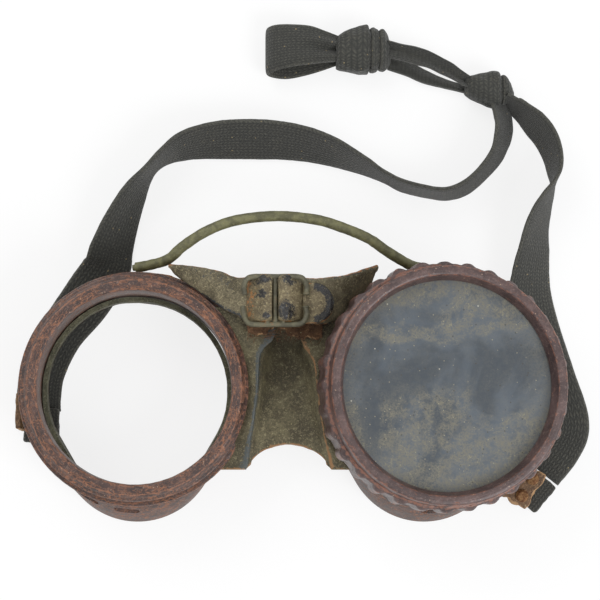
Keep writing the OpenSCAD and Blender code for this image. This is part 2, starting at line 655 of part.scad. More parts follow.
// Flattened loop of strap beyond the upper knot
module strap_loop_end() color("#2f2f2b") in_frame()
    band(curve([[10.8, 83, 6, 0, 6.5], [6, 82.6, 7, 0, 9.5], [0, 82.2, 7.2, 0, 11.6], [-3.8, 82, 6.2, 0, web_w],
        [-5.2, 82, 3.8, 0, web_w], [-3.6, 82, 1.5, 0, web_w], [0, 82, 0.8, 0, 11.6], [6, 82.4, 0.9, 0, 9.5],
        [10.8, 83, 2.6, 0, 6.5]]), web_t, [0, 1, 0]);

eyecup_right();
rim_lining_right();
leather_wrap_right();
lens_gasket_right();
filter_lens_right();
cover_glass_right();
lens_cap_right();
nose_saddle();
bridge_strap_right();
bridge_loop_right();
bridge_tongue();
buckle_frame();
bridge_backing();
brow_cord();
strap_tab_right();
tab_rivets_right();
strap_end_right();
head_strap_right();
head_strap_left();
strap_knot_lower();
strap_ply_upper();
strap_ply_lower();
strap_knot_upper();
strap_loop_end();
eyecup_left();
rim_lining_left();
leather_wrap_left();
bridge_strap_left();
bridge_loop_left();
strap_tab_left();
tab_rivets_left();
strap_end_left();
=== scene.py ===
"""Old round welding goggles: the finish of every surface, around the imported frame."""
import math
import random

import bpy
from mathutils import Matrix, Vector, noise


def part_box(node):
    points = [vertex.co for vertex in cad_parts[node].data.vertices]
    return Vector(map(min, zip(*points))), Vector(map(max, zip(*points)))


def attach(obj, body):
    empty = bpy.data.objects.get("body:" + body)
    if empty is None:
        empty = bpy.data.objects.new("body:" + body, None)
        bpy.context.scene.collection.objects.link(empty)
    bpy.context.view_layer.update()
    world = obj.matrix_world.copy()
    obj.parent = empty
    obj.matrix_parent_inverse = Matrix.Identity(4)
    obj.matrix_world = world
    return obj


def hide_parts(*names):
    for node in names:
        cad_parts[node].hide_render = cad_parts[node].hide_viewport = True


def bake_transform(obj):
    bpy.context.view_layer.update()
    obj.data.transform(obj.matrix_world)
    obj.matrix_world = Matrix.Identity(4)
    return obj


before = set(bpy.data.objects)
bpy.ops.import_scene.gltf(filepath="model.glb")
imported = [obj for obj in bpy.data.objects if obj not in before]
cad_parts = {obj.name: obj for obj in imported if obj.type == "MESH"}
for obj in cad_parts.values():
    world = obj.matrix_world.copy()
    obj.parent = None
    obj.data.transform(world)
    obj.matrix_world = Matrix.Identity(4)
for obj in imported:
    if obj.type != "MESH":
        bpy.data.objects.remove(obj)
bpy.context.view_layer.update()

# Millimetres, in the frame of the nose gap's middle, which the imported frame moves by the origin
MM = 0.001
MERGE = 0.004
ORIGIN = Vector((1.6, 28.6, 0))
SIGN = {"left": -1, "right": 1}
LEAN = {"left": math.radians(-2), "right": math.radians(7)}
SEAT_X = 34.9
SEAT_Z = 25.0
BORE_R = 22.0
FACE_R = 24.6
THREAD_R = 25.9
SHOULDER_R = 27.0
NECK_H = 10.0
WALL_TOP = 0.8 - NECK_H
WALL = 2.2
BODY_R = BORE_R + 0.4 + WALL
CHEEK_R = 18.4
CHEEK_Y = 12.4
CHEEK_SWELL = 0.8
RIM_LIFT = 3.2
LIFT_FROM = -26
LIFT_TO = 76
LIFT_EASE = 16
VENT_ANGLES = (-86, -66, -46)
VENT_Z = 8.5
VENT_SIZE = (6.0, 2.2)
LENS_R = 25.0
STACK_H = 5.56
GRIP_R = 27.6
FLANGE_R = 26.75
FLANGE_FRONT = 9.48
SIGHT_R = 23.66
SKIRT_H = 5.5
LUG_COUNT = 32
LUG_R = 1.9
LUG_OUT = 1.0
BAR_X = -3.0
BAR_LEFT_X = -4.85
BAR_RIGHT_X = -1.15
BAR_Y = 19.5
STRAP_W = 9.4
BAR_Z = 26.5
WIRE_R = 0.55
WEB_W = 12.0
WEB_T = 1.2
LEFT_X = -(SEAT_X - SEAT_Z * math.tan(LEAN["left"]))
RIGHT_X = SEAT_X - SEAT_Z * math.tan(LEAN["right"])


def in_frame(point):
    """A point of the nose gap's frame, in millimetres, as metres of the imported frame."""
    return (Vector(point) - ORIGIN) * MM


def mix(a, b, t):
    """Between a at t = 0 and b at t = 1."""
    return a * (1 - t) + b * t


def ease(value, low, high):
    """Smooth step from 0 to 1 as value goes from low to high."""
    t = min(1.0, max(0.0, (value - low) / (high - low)))
    return t * t * (3 - 2 * t)


def grain(point, size, seed=0):
    """Smooth noise from -1 to 1 with lumps of that size in millimetres."""
    return noise.noise(Vector(point) / size + Vector((seed * 7.31, seed * 3.17, seed * 5.77)))


def along(route, t):
    """Smooth curve through a route's rows of numbers, at t from 0 to 1."""
    last = len(route) - 1
    at = min(max(t, 0.0), 1.0) * last
    i = min(int(at), last - 1)
    f = at - i
    rows = [route[max(0, i - 1)], route[i], route[i + 1], route[min(last, i + 2)]]
    return [0.5 * (2 * b + (c - a) * f + (2 * a - 5 * b + 4 * c - d) * f * f
                   + (3 * b - a - 3 * c + d) * f ** 3) for a, b, c, d in zip(*rows)]


def ring_point(side, w, r, phi):
    """Point round a cup's axis, w in front of its seat; phi is in degrees from the temple."""
    out = r * math.cos(math.radians(phi))
    lean = LEAN[side]
    x = SEAT_X + w * math.sin(lean) + out * math.cos(lean)
    z = SEAT_Z + w * math.cos(lean) - out * math.sin(lean)
    return Vector((SIGN[side] * x, r * math.sin(math.radians(phi)), z))


def on_seat(side):
    """Turns a point of a cup's own neck, x out to the temple and z out of the front, into the frame."""
    def placed(point):
        x, y, w = point
        return ring_point(side, w, math.hypot(x, y), math.degrees(math.atan2(y, x)))
    return placed


def outward(side, phi):
    """Level direction away from a cup's middle; phi is in degrees from the temple."""
    a = math.radians(phi)
    return Vector((SIGN[side] * math.cos(a), math.sin(a), 0))


def rim_point(side, phi, inset):
    """Point on a cup's base rim, on the round body or on the cheek's lobe."""
    a = math.radians(phi)
    lobe = CHEEK_R - CHEEK_Y * math.sin(a) > BODY_R
    r = (CHEEK_R if lobe else BODY_R) - inset
    middle = RIGHT_X if side == "right" else -LEFT_X
    turned_phi = phi - 360 if phi >= 270 else phi
    z = RIM_LIFT * ease(turned_phi, LIFT_FROM - LIFT_EASE, LIFT_FROM) \
        * (1 - ease(turned_phi, LIFT_TO, LIFT_TO + LIFT_EASE))
    return Vector((SIGN[side] * (middle + r * math.cos(a)), (-CHEEK_Y if lobe else 0) + r * math.sin(a), z))


def wall_point(side, t, phi, inset):
    """Point on a cup's wall, from the neck at t = 0 to the base rim at t = 1."""
    swell = CHEEK_SWELL * math.sin(math.pi * t) * max(0.0, -math.sin(math.radians(phi)))
    top = ring_point(side, WALL_TOP, BODY_R - inset, phi)
    return mix(top, rim_point(side, phi, inset), t) + swell * outward(side, phi)


# Modelling

def clear_selection():
    """Leaves edit mode, with nothing selected."""
    if bpy.context.object and bpy.context.object.mode != "OBJECT":
        bpy.ops.object.mode_set(mode="OBJECT")
    bpy.ops.object.select_all(action="DESELECT")


def focus(piece):
    """Selects this piece alone, as the active one."""
    clear_selection()
    piece.select_set(True)
    bpy.context.view_layer.objects.active = piece


def apply_modifier(piece, kind, **settings):
    """Adds a modifier with its settings and applies it."""
    focus(piece)
    modifier = piece.modifiers.new(kind.title(), kind)
    for name, value in settings.items():
        setattr(modifier, name, value)
    bpy.ops.object.modifier_apply(modifier=modifier.name)


def tidy_mesh(piece, fill=False):
    """Joins corners that meet, closes open ends if asked and turns the faces outwards."""
    focus(piece)
    bpy.ops.object.mode_set(mode="EDIT")
    bpy.ops.mesh.select_all(action="SELECT")
    bpy.ops.mesh.remove_doubles(threshold=MERGE * MM)
    if fill:
        bpy.ops.mesh.fill_holes(sides=0)
    bpy.ops.mesh.select_all(action="SELECT")
    bpy.ops.mesh.normals_make_consistent(inside=False)
    bpy.ops.object.mode_set(mode="OBJECT")


def start_piece(name):
    """Names the piece just added, and its mesh."""
    piece = bpy.context.object
    piece.name = piece.data.name = name
    return piece


def turned(name, profile, steps, shape, cored=True):
    """Piece drawn round an axis through a profile of (radius, height), each corner then moved by shape."""
    (r, z), rest = profile[0], profile[1:]
    clear_selection()
    bpy.ops.mesh.primitive_circle_add(vertices=steps, radius=r)
    piece = start_piece(name)
    bpy.ops.object.mode_set(mode="EDIT")
    bpy.ops.mesh.select_all(action="SELECT")
    bpy.ops.transform.translate(value=(0, 0, z))
    for new_r, new_z in rest:
        bpy.ops.mesh.extrude_region_move(TRANSFORM_OT_translate={"value": (0, 0, new_z - z)})
        bpy.ops.transform.resize(value=(new_r / r, new_r / r, 1), center_override=(0, 0, new_z))
        r, z = new_r, new_z
    if not cored:
        bpy.ops.mesh.merge(type="CENTER")
    bpy.ops.object.mode_set(mode="OBJECT")
    for corner in piece.data.vertices:
        corner.co = in_frame(shape(corner.co))
    tidy_mesh(piece, fill=not cored)
    return piece


def moulded(name, columns, rows, shape, chart=None, marks=None, fill=False):
    """Grid moulded to shape(u, v), with u and v from 0 to 1; chart gives its pattern map in millimetres."""
    clear_selection()
    bpy.ops.mesh.primitive_grid_add(x_subdivisions=columns, y_subdivisions=rows, size=1)
    piece = start_piece(name)
    places = [(corner.co.x + 0.5, corner.co.y + 0.5) for corner in piece.data.vertices]
    for mark, rule in (marks or {}).items():
        layer = piece.data.attributes.new(mark, "FLOAT", "POINT")
        layer.data.foreach_set("value", [rule(u, v) for u, v in places])
    for corner, (u, v) in zip(piece.data.vertices, places):
        corner.co = in_frame(shape(u, v))
    if chart:
        charted = [chart(u, v) for u, v in places]
        for spot, loop in zip(piece.data.uv_layers.active.data, piece.data.loops):
            spot.uv = charted[loop.vertex_index]
    tidy_mesh(piece, fill)
    return piece


def refinish(node, material):
    """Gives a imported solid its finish."""
    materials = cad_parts[node].data.materials
    materials.clear()
    materials.append(material)


def joined(pieces, name):
    """The pieces as one, under one name."""
    focus(pieces[0])
    for piece in pieces[1:]:
        piece.select_set(True)
    if len(pieces) > 1:
        bpy.ops.object.join()
    pieces[0].name = pieces[0].data.name = name
    return pieces[0]


def finished(piece, body, material, replaces=(), angle=40):
    """Smooths a piece and gives it its finish, its body and the solids it stands for."""
    focus(piece)
    bpy.ops.object.shade_smooth_by_angle(angle=math.radians(angle))
    piece.data.materials.clear()
    piece.data.materials.append(material)
    if isinstance(body, str):
        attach(piece, body)
    else:
        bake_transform(piece)
    if replaces:
        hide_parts(*replaces)
    return piece


# Materials

def ink(code):
    """Scene colour of a hex code."""
    parts = [int(code[i:i + 2], 16) / 255 for i in (1, 3, 5)]
    return [*(p / 12.92 if p < 0.04045 else ((p + 0.055) / 1.055) ** 2.4 for p in parts), 1.0]


class Board:
    """The node tree of a material or a group, with short calls for its nodes."""

    def __init__(self, tree):
        self.tree = tree

    def put(self, kind, inputs, **settings):
        node = self.tree.nodes.new(kind)
        for name, value in settings.items():
            setattr(node, name, value)
        for name, value in inputs.items():
            if isinstance(value, bpy.types.NodeSocket):
                self.tree.links.new(value, node.inputs[name])
            else:
                node.inputs[name].default_value = value
        return node

    def sums(self, operation, a, b=0.0, clamp=False):
        return self.put("ShaderNodeMath", {0: a, 1: b}, operation=operation, use_clamp=clamp).outputs[0]

    def noise(self, vector, scale, detail=4.0, roughness=0.55, distortion=0.0):
        return self.put("ShaderNodeTexNoise", {
            "Vector": vector, "Scale": scale, "Detail": detail, "Roughness": roughness,
            "Distortion": distortion}).outputs["Fac"]

    def cells(self, vector, scale, feature="F1"):
        given = {"Vector": vector, "Scale": scale}
        return self.put("ShaderNodeTexVoronoi", given, feature=feature).outputs["Distance"]

    def steps(self, value, low, high):
        """0 below low and 1 above high; low may be the larger."""
        return self.put("ShaderNodeMapRange", {"Value": value, "From Min": low, "From Max": high},
                        interpolation_type="SMOOTHSTEP").outputs[0]

    def blend(self, mask, a, b):
        return self.put("ShaderNodeMix", {0: mask, 6: a, 7: b}, data_type="RGBA").outputs[2]

    def mark(self, name):
        return self.put("ShaderNodeAttribute", {}, attribute_name=name).outputs["Fac"]

    def paint(self, colour, code, mask, amount):
        """The colour with another laid over it where the mask is, up to an amount."""
        return self.blend(self.sums("MULTIPLY", mask, amount), colour, ink(code))

    def bump(self, height, strength, distance):
        inputs = {"Height": height, "Strength": strength, "Distance": distance * MM}
        return self.put("ShaderNodeBump", inputs).outputs["Normal"]

    def specks(self, place, spacing, size, share):
        """Mask of small points; share is the part of the cells that hold one."""
        given = {"Vector": place, "Spacing": spacing, "Size": size, "Share": share}
        return self.put("ShaderNodeGroup", given, node_tree=SPECKS).outputs["Mask"]

    def crackle(self, place, spacing, width, gaps):
        """Mask of fine broken lines; more gaps leave fewer of them."""
        given = {"Vector": place, "Spacing": spacing, "Width": width, "Gaps": gaps}
        return self.put("ShaderNodeGroup", given, node_tree=CRACKLE).outputs["Mask"]

    def seen_directly(self):
        """Mask of the rays that show a surface in the picture, also through or in something."""
        rays = self.put("ShaderNodeLightPath", {}).outputs
        mirrored = self.sums("MAXIMUM", rays["Is Glossy Ray"], rays["Is Transmission Ray"])
        return self.sums("MAXIMUM", rays["Is Camera Ray"], mirrored)


def shared_group(name, inputs, outputs):
    """Empty node group with named sockets; gives its board, its inputs and its output node."""
    tree = bpy.data.node_groups.new(name, "ShaderNodeTree")
    for label, kind, value in inputs:
        socket = tree.interface.new_socket(label, in_out="INPUT", socket_type=kind)
        if value is not None:
            socket.default_value = value
    for label, kind in outputs:
        tree.interface.new_socket(label, in_out="OUTPUT", socket_type=kind)
    board = Board(tree)
    return board, tree.nodes.new("NodeGroupInput").outputs, tree.nodes.new("NodeGroupOutput")


FLOAT, VECTOR = "NodeSocketFloat", "NodeSocketVector"


def specks_group():
    """Small bright points scattered over a surface."""
    board, given, out = shared_group("Specks", [
        ("Vector", VECTOR, None), ("Spacing", FLOAT, 1.0), ("Size", FLOAT, 0.2), ("Share", FLOAT, 0.5)],
        [("Mask", FLOAT)])
    scale = board.sums("DIVIDE", 1.0, given["Spacing"])
    cell = board.put("ShaderNodeTexVoronoi", {"Vector": given["Vector"], "Scale": scale})
    near = board.sums("LESS_THAN", cell.outputs["Distance"], given["Size"])
    chosen = board.put("ShaderNodeSeparateColor", {"Color": cell.outputs["Color"]}).outputs[0]
    kept = board.sums("LESS_THAN", chosen, given["Share"])
    board.tree.links.new(board.sums("MULTIPLY", near, kept), out.inputs["Mask"])
    return board.tree


def crackle_group():
    """Fine broken lines between irregular cells."""
    board, given, out = shared_group("Crackle", [
        ("Vector", VECTOR, None), ("Spacing", FLOAT, 1.0), ("Width", FLOAT, 0.1), ("Gaps", FLOAT, 0.5)],
        [("Mask", FLOAT)])
    scale = board.sums("DIVIDE", 1.0, given["Spacing"])
    bent = board.put("ShaderNodeTexNoise", {"Vector": given["Vector"], "Scale": scale, "Detail": 3.0})
    moved = board.put("ShaderNodeVectorMath", {0: bent.outputs["Color"], 1: (0.8, 0.8, 0.8)},
                      operation="MULTIPLY").outputs[0]
    place = board.put("ShaderNodeVectorMath", {0: given["Vector"], 1: moved}, operation="ADD").outputs[0]
    edge = board.cells(place, scale, "DISTANCE_TO_EDGE")
    line = board.put("ShaderNodeMapRange", {"Value": edge, "From Min": given["Width"], "From Max": 0.0},
                     interpolation_type="SMOOTHSTEP").outputs[0]
    patch = board.noise(given["Vector"], board.sums("MULTIPLY", scale, 0.45), 2.0)
    kept = board.steps(patch, given["Gaps"], board.sums("ADD", given["Gaps"], 0.12))
    board.tree.links.new(board.sums("MULTIPLY", line, kept), out.inputs["Mask"])
    return board.tree


SPECKS = specks_group()
CRACKLE = crackle_group()


def new_material(name):
    """New material with its board and its shader."""
    material = bpy.data.materials.new(name)
    material.use_nodes = True
    board = Board(material.node_tree)
    shader = material.node_tree.nodes["Principled BSDF"]
    return material, board, shader


def wire_up(board, shader, colour, rough, normal, **plain):
    """Joins the looks to the shader; plain holds its other values by name."""
    for socket, value in (("Base Color", colour), ("Roughness", rough), ("Normal", normal)):
        if isinstance(value, bpy.types.NodeSocket):
            board.tree.links.new(value, shader.inputs[socket])
        else:
            shader.inputs[socket].default_value = value
    for socket, value in plain.items():
        shader.inputs[socket.replace("_", " ")].default_value = value


def in_millimetres(board):
    """Object place in millimetres."""
    place = board.put("ShaderNodeTexCoord", {}).outputs["Object"]
    return board.put("ShaderNodeMapping", {"Vector": place, "Scale": (1000, 1000, 1000)}).outputs[0]


def round_cup(board, side, squeeze):
    """Place about a cup's axis, so squeezed round the ring that marks run along it."""
    middle = in_frame(ring_point(side, 0, 0, 0))
    place = board.put("ShaderNodeTexCoord", {}).outputs["Object"]
    centred = board.put("ShaderNodeMapping", {
        "Vector": place, "Location": -middle * 1000, "Scale": (1000, 1000, 1000)}).outputs[0]
    parts = board.put("ShaderNodeSeparateXYZ", {"Vector": centred}).outputs
    flat = board.put("ShaderNodeCombineXYZ", {"X": parts["X"], "Y": parts["Y"]}).outputs[0]
    radius = board.put("ShaderNodeVectorMath", {0: flat}, operation="LENGTH").outputs["Value"]
    across = board.sums("ADD", radius, parts["Z"])
    return board.put("ShaderNodeCombineXYZ", {
        "X": board.sums("MULTIPLY", parts["X"], squeeze), "Y": board.sums("MULTIPLY", parts["Y"], squeeze),
        "Z": across}).outputs[0], centred, radius


def resin(name, side, base, dark, pale, rust, gloss, cracks):
    """Moulded red-brown resin with rust-coloured cracks along its rings, flakes and worn edges, the lines
    at inner edges painted bright as a highlight.
    """
    material, board, shader = new_material(name)
    ringed, _, radius = round_cup(board, side, 0.42)
    place = in_millimetres(board)
    cloud = board.noise(place, 0.2, 5.0, 0.6)
    colour = board.blend(board.steps(cloud, 0.35, 0.68), ink(dark), ink(base))
    streak = board.noise(ringed, 1.6, 6.0, 0.7, 0.6)
    colour = board.paint(colour, pale, board.steps(streak, 0.54, 0.8), 0.45)
    grit = board.noise(place, 1.5, 4.0, 0.85, 0.6)
    colour = board.paint(colour, pale, board.steps(grit, 0.55, 0.63), 0.55)
    colour = board.paint(colour, dark, board.steps(grit, 0.46, 0.38), 0.7)
    lines = board.crackle(ringed, 0.85, 0.1, 0.66 - cracks)
    fine = board.crackle(ringed, 0.4, 0.13, 0.64 - cracks)
    colour = board.paint(colour, rust, lines, 0.7)
    colour = board.paint(colour, rust, fine, 0.55)
    flakes = board.sums("MULTIPLY", board.steps(board.noise(place, 2.8, 4.0, 0.7, 0.8), 0.6, 0.68),
                        board.steps(cloud, 0.42, 0.6))
    colour = board.paint(colour, rust, flakes, 0.45)
    # Rust at the marked edges: wear, and at the inner edges of the neck's face and the cap's sight opening
    # also a painted highlight line.
    worn = broken(board, board.mark("edge"), board.noise(ringed, 2.0, 5.0, 0.7))
    colour = board.paint(colour, rust, worn, 0.55)
    dots = board.specks(place, 0.8, 0.17, 0.16)
    colour = board.paint(colour, "#a98d76", dots, 0.7)
    turning = board.sums("SINE", board.sums("MULTIPLY", radius, 2 * math.pi / 0.62))
    pits = board.sums("MAXIMUM", lines, board.sums("MULTIPLY", fine, 0.6))
    height = board.sums("SUBTRACT", board.sums("MULTIPLY", board.noise(ringed, 2.2, 5.0), 0.6), pits)
    height = board.sums("ADD", height, board.sums("MULTIPLY", turning, 0.07))
    normal = board.bump(height, 0.6, 0.16)
    rough = board.sums("ADD", gloss, board.sums("MULTIPLY", board.sums("ADD", streak, pits), 0.28))
    wire_up(board, shader, colour, rough, normal, Coat_Weight=0.1, Coat_Roughness=0.25)
    return material


def broken(board, mark, cloud):
    """A mark broken up by noise at its border, and in patches where it is weak."""
    shaken = board.sums("ADD", board.sums("MULTIPLY", mark, 0.78),
                        board.sums("MULTIPLY", board.sums("SUBTRACT", cloud, 0.5), 2.6))
    return board.sums("MULTIPLY", board.steps(shaken, 0.42, 0.62), board.steps(mark, 0.0, 0.12))


def leather(name, base, dark, pale, worn, raw, cell=0.5, gloss=0.55):
    """Old leather: mottled grain, worn dark gloss on the crowns, dark painted shade where a piece marks it,
    and raw rusty edges.
    """
    material, board, shader = new_material(name)
    place = in_millimetres(board)
    cloud = board.noise(place, 0.22, 6.0, 0.65, 0.4)
    colour = board.blend(board.steps(cloud, 0.36, 0.66), ink(dark), ink(base))
    fine = board.noise(place, 2.6, 5.0, 0.7)
    colour = board.paint(colour, pale, board.steps(fine, 0.5, 0.74), 0.6)
    cells = board.cells(place, 1 / cell, "DISTANCE_TO_EDGE")
    crease = board.steps(cells, 0.09, 0.0)
    colour = board.paint(colour, dark, crease, 0.35)
    flecks = board.noise(place, 1.7, 4.0, 0.8, 0.8)
    colour = board.paint(colour, pale, board.steps(flecks, 0.54, 0.62), 0.7)
    colour = board.paint(colour, dark, board.steps(flecks, 0.46, 0.38), 0.75)
    # The worn colour laid here is wear on most pieces, and painted shade beside the nose saddle's flap
    # edges and along the bridge straps' cheek edges.
    rubbed_and_shade = broken(board, board.mark("rub_and_shade"), board.noise(place, 1.5, 5.0, 0.8, 0.4))
    colour = board.paint(colour, worn, rubbed_and_shade, 0.92)
    edge = broken(board, board.mark("edge"), board.noise(place, 0.9, 5.0, 0.7))
    colour = board.blend(edge, colour, ink(raw))
    dots = board.specks(place, 1.1, 0.14, 0.16)
    colour = board.paint(colour, "#a89c78", dots, 0.7)
    height = board.sums("SUBTRACT", board.sums("MULTIPLY", fine, 0.6), board.sums("MULTIPLY", crease, 0.6))
    normal = board.bump(height, 0.6, 0.18)
    rough = board.sums("SUBTRACT", board.sums("ADD", gloss, board.sums("MULTIPLY", fine, 0.3)),
                       board.sums("MULTIPLY", rubbed_and_shade, 0.34))
    wire_up(board, shader, colour, rough, normal)
    return material


def webbing(name, dark, highlight_and_fade, dust):
    """Narrow woven elastic: zigzag ribs along the band, their crests painted lighter as a highlight, faded
    and dusty towards its edges.
    """
    material, board, shader = new_material(name)
    map_place = board.put("ShaderNodeUVMap", {}).outputs["UV"]
    parts = board.put("ShaderNodeSeparateXYZ", {"Vector": map_place}).outputs
    zigzag = board.sums("PINGPONG", parts["Y"], 0.75)
    lean = board.sums("ADD", board.sums("MULTIPLY", parts["X"], 1.15), board.sums("MULTIPLY", zigzag, 1.1))
    rib = board.sums("ABSOLUTE", board.sums("SINE", board.sums("MULTIPLY", lean, math.pi)))
    warp = board.sums("ABSOLUTE", board.sums("SINE", board.sums("MULTIPLY", parts["Y"], math.pi / 0.75)))
    place = in_millimetres(board)
    fuzz = board.noise(place, 2.4, 5.0, 0.75)
    cloud = board.noise(place, 0.14, 4.0, 0.6)
    # The thread crests take the lighter colour: a painted highlight over the weave.
    thread = board.sums("MULTIPLY", board.sums("MULTIPLY", rib, warp), board.steps(fuzz, 0.3, 0.7))
    colour = board.blend(board.sums("MULTIPLY", thread, 0.9, True), ink(dark), ink(highlight_and_fade))
    faded = board.sums("MULTIPLY", board.mark("edge"), board.steps(fuzz, 0.35, 0.6))
    colour = board.paint(colour, highlight_and_fade, faded, 0.6)
    haze = board.sums("MULTIPLY", board.steps(cloud, 0.45, 0.75), board.steps(fuzz, 0.45, 0.7))
    colour = board.paint(colour, dust, haze, 0.35)
    dots = board.specks(place, 1.4, 0.13, 0.2)
    colour = board.paint(colour, "#9c8a64", dots, 0.6)
    height = board.sums("ADD", board.sums("MULTIPLY", rib, warp), board.sums("MULTIPLY", fuzz, 0.6))
    wire_up(board, shader, colour, 0.85, board.bump(height, 0.7, 0.16), Sheen_Weight=0.15,
            Sheen_Roughness=0.5)
    return material


def painted_wire(name, base, dark, pale, rust):
    """Dull olive paint on wire, rubbed pale and rusty in places."""
    material, board, shader = new_material(name)
    place = in_millimetres(board)
    cloud = board.noise(place, 0.5, 5.0, 0.6)
    fine = board.noise(place, 2.2, 5.0, 0.7)
    colour = board.blend(board.steps(cloud, 0.36, 0.64), ink(dark), ink(base))
    colour = board.paint(colour, pale, board.steps(fine, 0.54, 0.7), 0.5)
    spot = board.sums("MULTIPLY", board.steps(cloud, 0.58, 0.68), board.steps(fine, 0.48, 0.6))
    colour = board.paint(colour, rust, spot, 0.7)
    wire_up(board, shader, colour, board.sums("ADD", 0.42, board.sums("MULTIPLY", fine, 0.3)),
            board.bump(fine, 0.4, 0.1))
    return material


def dusty_glass(name):
    """Blue-grey glass under khaki dust, with wiped bands, dark spots and bright specks."""
    material, board, shader = new_material(name)
    _, centred, radius = round_cup(board, "right", 1.0)
    place = in_millimetres(board)
    soft = board.noise(centred, 0.06, 5.0, 0.6, 0.5)
    mid = board.noise(centred, 0.35, 6.0, 0.7)
    fine = board.noise(centred, 2.2, 5.0, 0.75)
    colour = board.blend(board.steps(soft, 0.4, 0.6), ink("#3c434a"), ink("#525a62"))
    parts = board.put("ShaderNodeSeparateXYZ", {"Vector": centred}).outputs
    wipe = dust_free(board, centred, parts)
    cover = board.sums("MULTIPLY", board.steps(mid, 0.34, 0.62), board.sums("SUBTRACT", 1.0, wipe))
    rim = board.steps(radius, 17.0, 24.0)
    cover = board.sums("ADD", cover, board.sums("MULTIPLY", rim, 0.35), True)
    cover = board.sums("MULTIPLY", cover, board.steps(fine, 0.3, 0.62))
    colour = board.paint(colour, "#757163", cover, 0.95)
    for x, y, r in SPOTS:
        away = board.put("ShaderNodeVectorMath", {0: centred, 1: (x, y, 0)},
                         operation="DISTANCE").outputs["Value"]
        away = board.sums("ADD", away, board.sums("MULTIPLY", board.sums("SUBTRACT", mid, 0.5), 5.0))
        spot = board.sums("MULTIPLY", board.steps(away, r, r * 0.45), board.steps(fine, 0.2, 0.5))
        colour = board.paint(colour, "#2a2c2c", spot, 0.8)
    rings = board.crackle(centred, 1.0, 0.07, 0.5)
    colour = board.paint(colour, "#a39b7c", board.sums("MULTIPLY", rings, cover), 0.5)
    for spacing, size, share, code in LENS_SPECKS:
        dots = board.specks(place, spacing, size, share)
        colour = board.paint(colour, code, dots, 0.7)
    rough = board.sums("ADD", 0.34, board.sums("MULTIPLY", cover, 0.4))
    wire_up(board, shader, colour, rough, board.bump(board.sums("ADD", fine, rings), 0.15, 0.08),
            Transmission_Weight=0.08, IOR=1.5)
    return material


# Specks on the lens: spacing, size, share of places and colour
LENS_SPECKS = ((1.1, 0.13, 0.3, "#98917a"), (2.9, 0.06, 0.3, "#c9c5b4"), (1.3, 0.15, 0.35, "#3f3d38"))
# Dark spots on the lens: place about its centre and radius
SPOTS = ((-12.5, -10.2, 2.6), (-2.5, -10.6, 2.0), (0.6, -10.2, 2.2), (-3.0, -15.0, 2.4),
         (7.4, -12.2, 1.0), (-12.8, 13.5, 1.8), (2.0, 20.4, 1.5), (-19.5, -8.0, 2.0))


def dust_free(board, centred, parts):
    """The wiped bands: a broad one across the middle and a short one above it."""
    bent = board.sums("MULTIPLY", board.sums("SUBTRACT", board.noise(centred, 0.12, 3.0), 0.5), 9.0)
    x = board.sums("ADD", parts["X"], bent)
    line = board.sums("SUBTRACT", board.sums("ADD", parts["Y"], bent), board.sums("MULTIPLY", x, 0.12))
    broad = board.sums("MULTIPLY", board.steps(line, 11.5, 10.2), board.steps(line, -4.0, 1.5))
    right = board.sums("MULTIPLY", board.steps(x, 3.0, 8.0), board.steps(line, -9.5, -5.0))
    right = board.sums("MULTIPLY", right, board.steps(line, 11.5, 10.2))
    upper = board.sums("MULTIPLY", board.steps(line, 14.0, 15.0), board.steps(line, 20.0, 18.0))
    upper = board.sums("MULTIPLY", upper, board.steps(x, 2.0, -2.0))
    left = board.sums("MULTIPLY", board.steps(x, -13.5, -15.0), board.steps(x, -19.5, -18.0))
    left = board.sums("MULTIPLY", left, board.steps(line, 6.0, 2.0))
    mask = board.sums("MAXIMUM", board.sums("MAXIMUM", broad, right), board.sums("MAXIMUM", upper, left))
    return board.sums("MULTIPLY", mask, 0.85)


RESIN_LEFT = resin("Resin left cup", "left", "#513a33", "#2c1d1a", "#8d7264", "#9c6a4e", 0.38, 0.2)
RESIN_RIGHT = resin("Resin right cup", "right", "#4b352f", "#2c1d1a", "#8a7062", "#97664b", 0.38, 0.17)
RESIN_CAP = resin("Resin cap", "right", "#594542", "#3b2b2a", "#7e6a64", "#96624a", 0.3, 0.05)
# Its worn colour also serves as painted shade along the bridge straps' cheek edges.
OLIVE_LEATHER = leather("Olive leather", "#7b725a", "#4b4432", "#a69b79", "#2b3138", "#95673f")
# On the saddle its worn colour is painted shade beside the flap edges.
SADDLE_LEATHER = leather("Saddle leather", "#6f684e", "#464030", "#9a9070", "#474e4e", "#94704c", 0.4)
LOOP_LEATHER = leather("Loop leather", "#7e7256", "#514632", "#a89b76", "#14181f", "#a37244", 0.6, 0.44)
LINING_LEATHER = leather("Lining leather", "#65644f", "#454536", "#8d8a70", "#3f4238", "#5c4030", 0.4)
BROWN_LEATHER = leather("Brown leather", "#7a5c42", "#523c2a", "#a3835f", "#3e342a", "#a8845e", 0.5)
FIBRE = leather("Leather fibre", "#6b4c33", "#4a3322", "#8f6e4c", "#3e342a", "#a8845e", 0.3, 0.7)
# Its second colour is the painted highlight on the thread crests and the faded edge colour.
HEAD_WEBBING = webbing("Head webbing", "#262724", "#55544c", "#6b6556")
OLIVE_WIRE = painted_wire("Olive wire", "#5f5c47", "#423f30", "#7e7960", "#8a5c38")
OLIVE_CORD = painted_wire("Olive cord", "#6c6a48", "#504e34", "#8f8b68", "#6f6742")
LENS_GLASS = dusty_glass("Dusty glass")


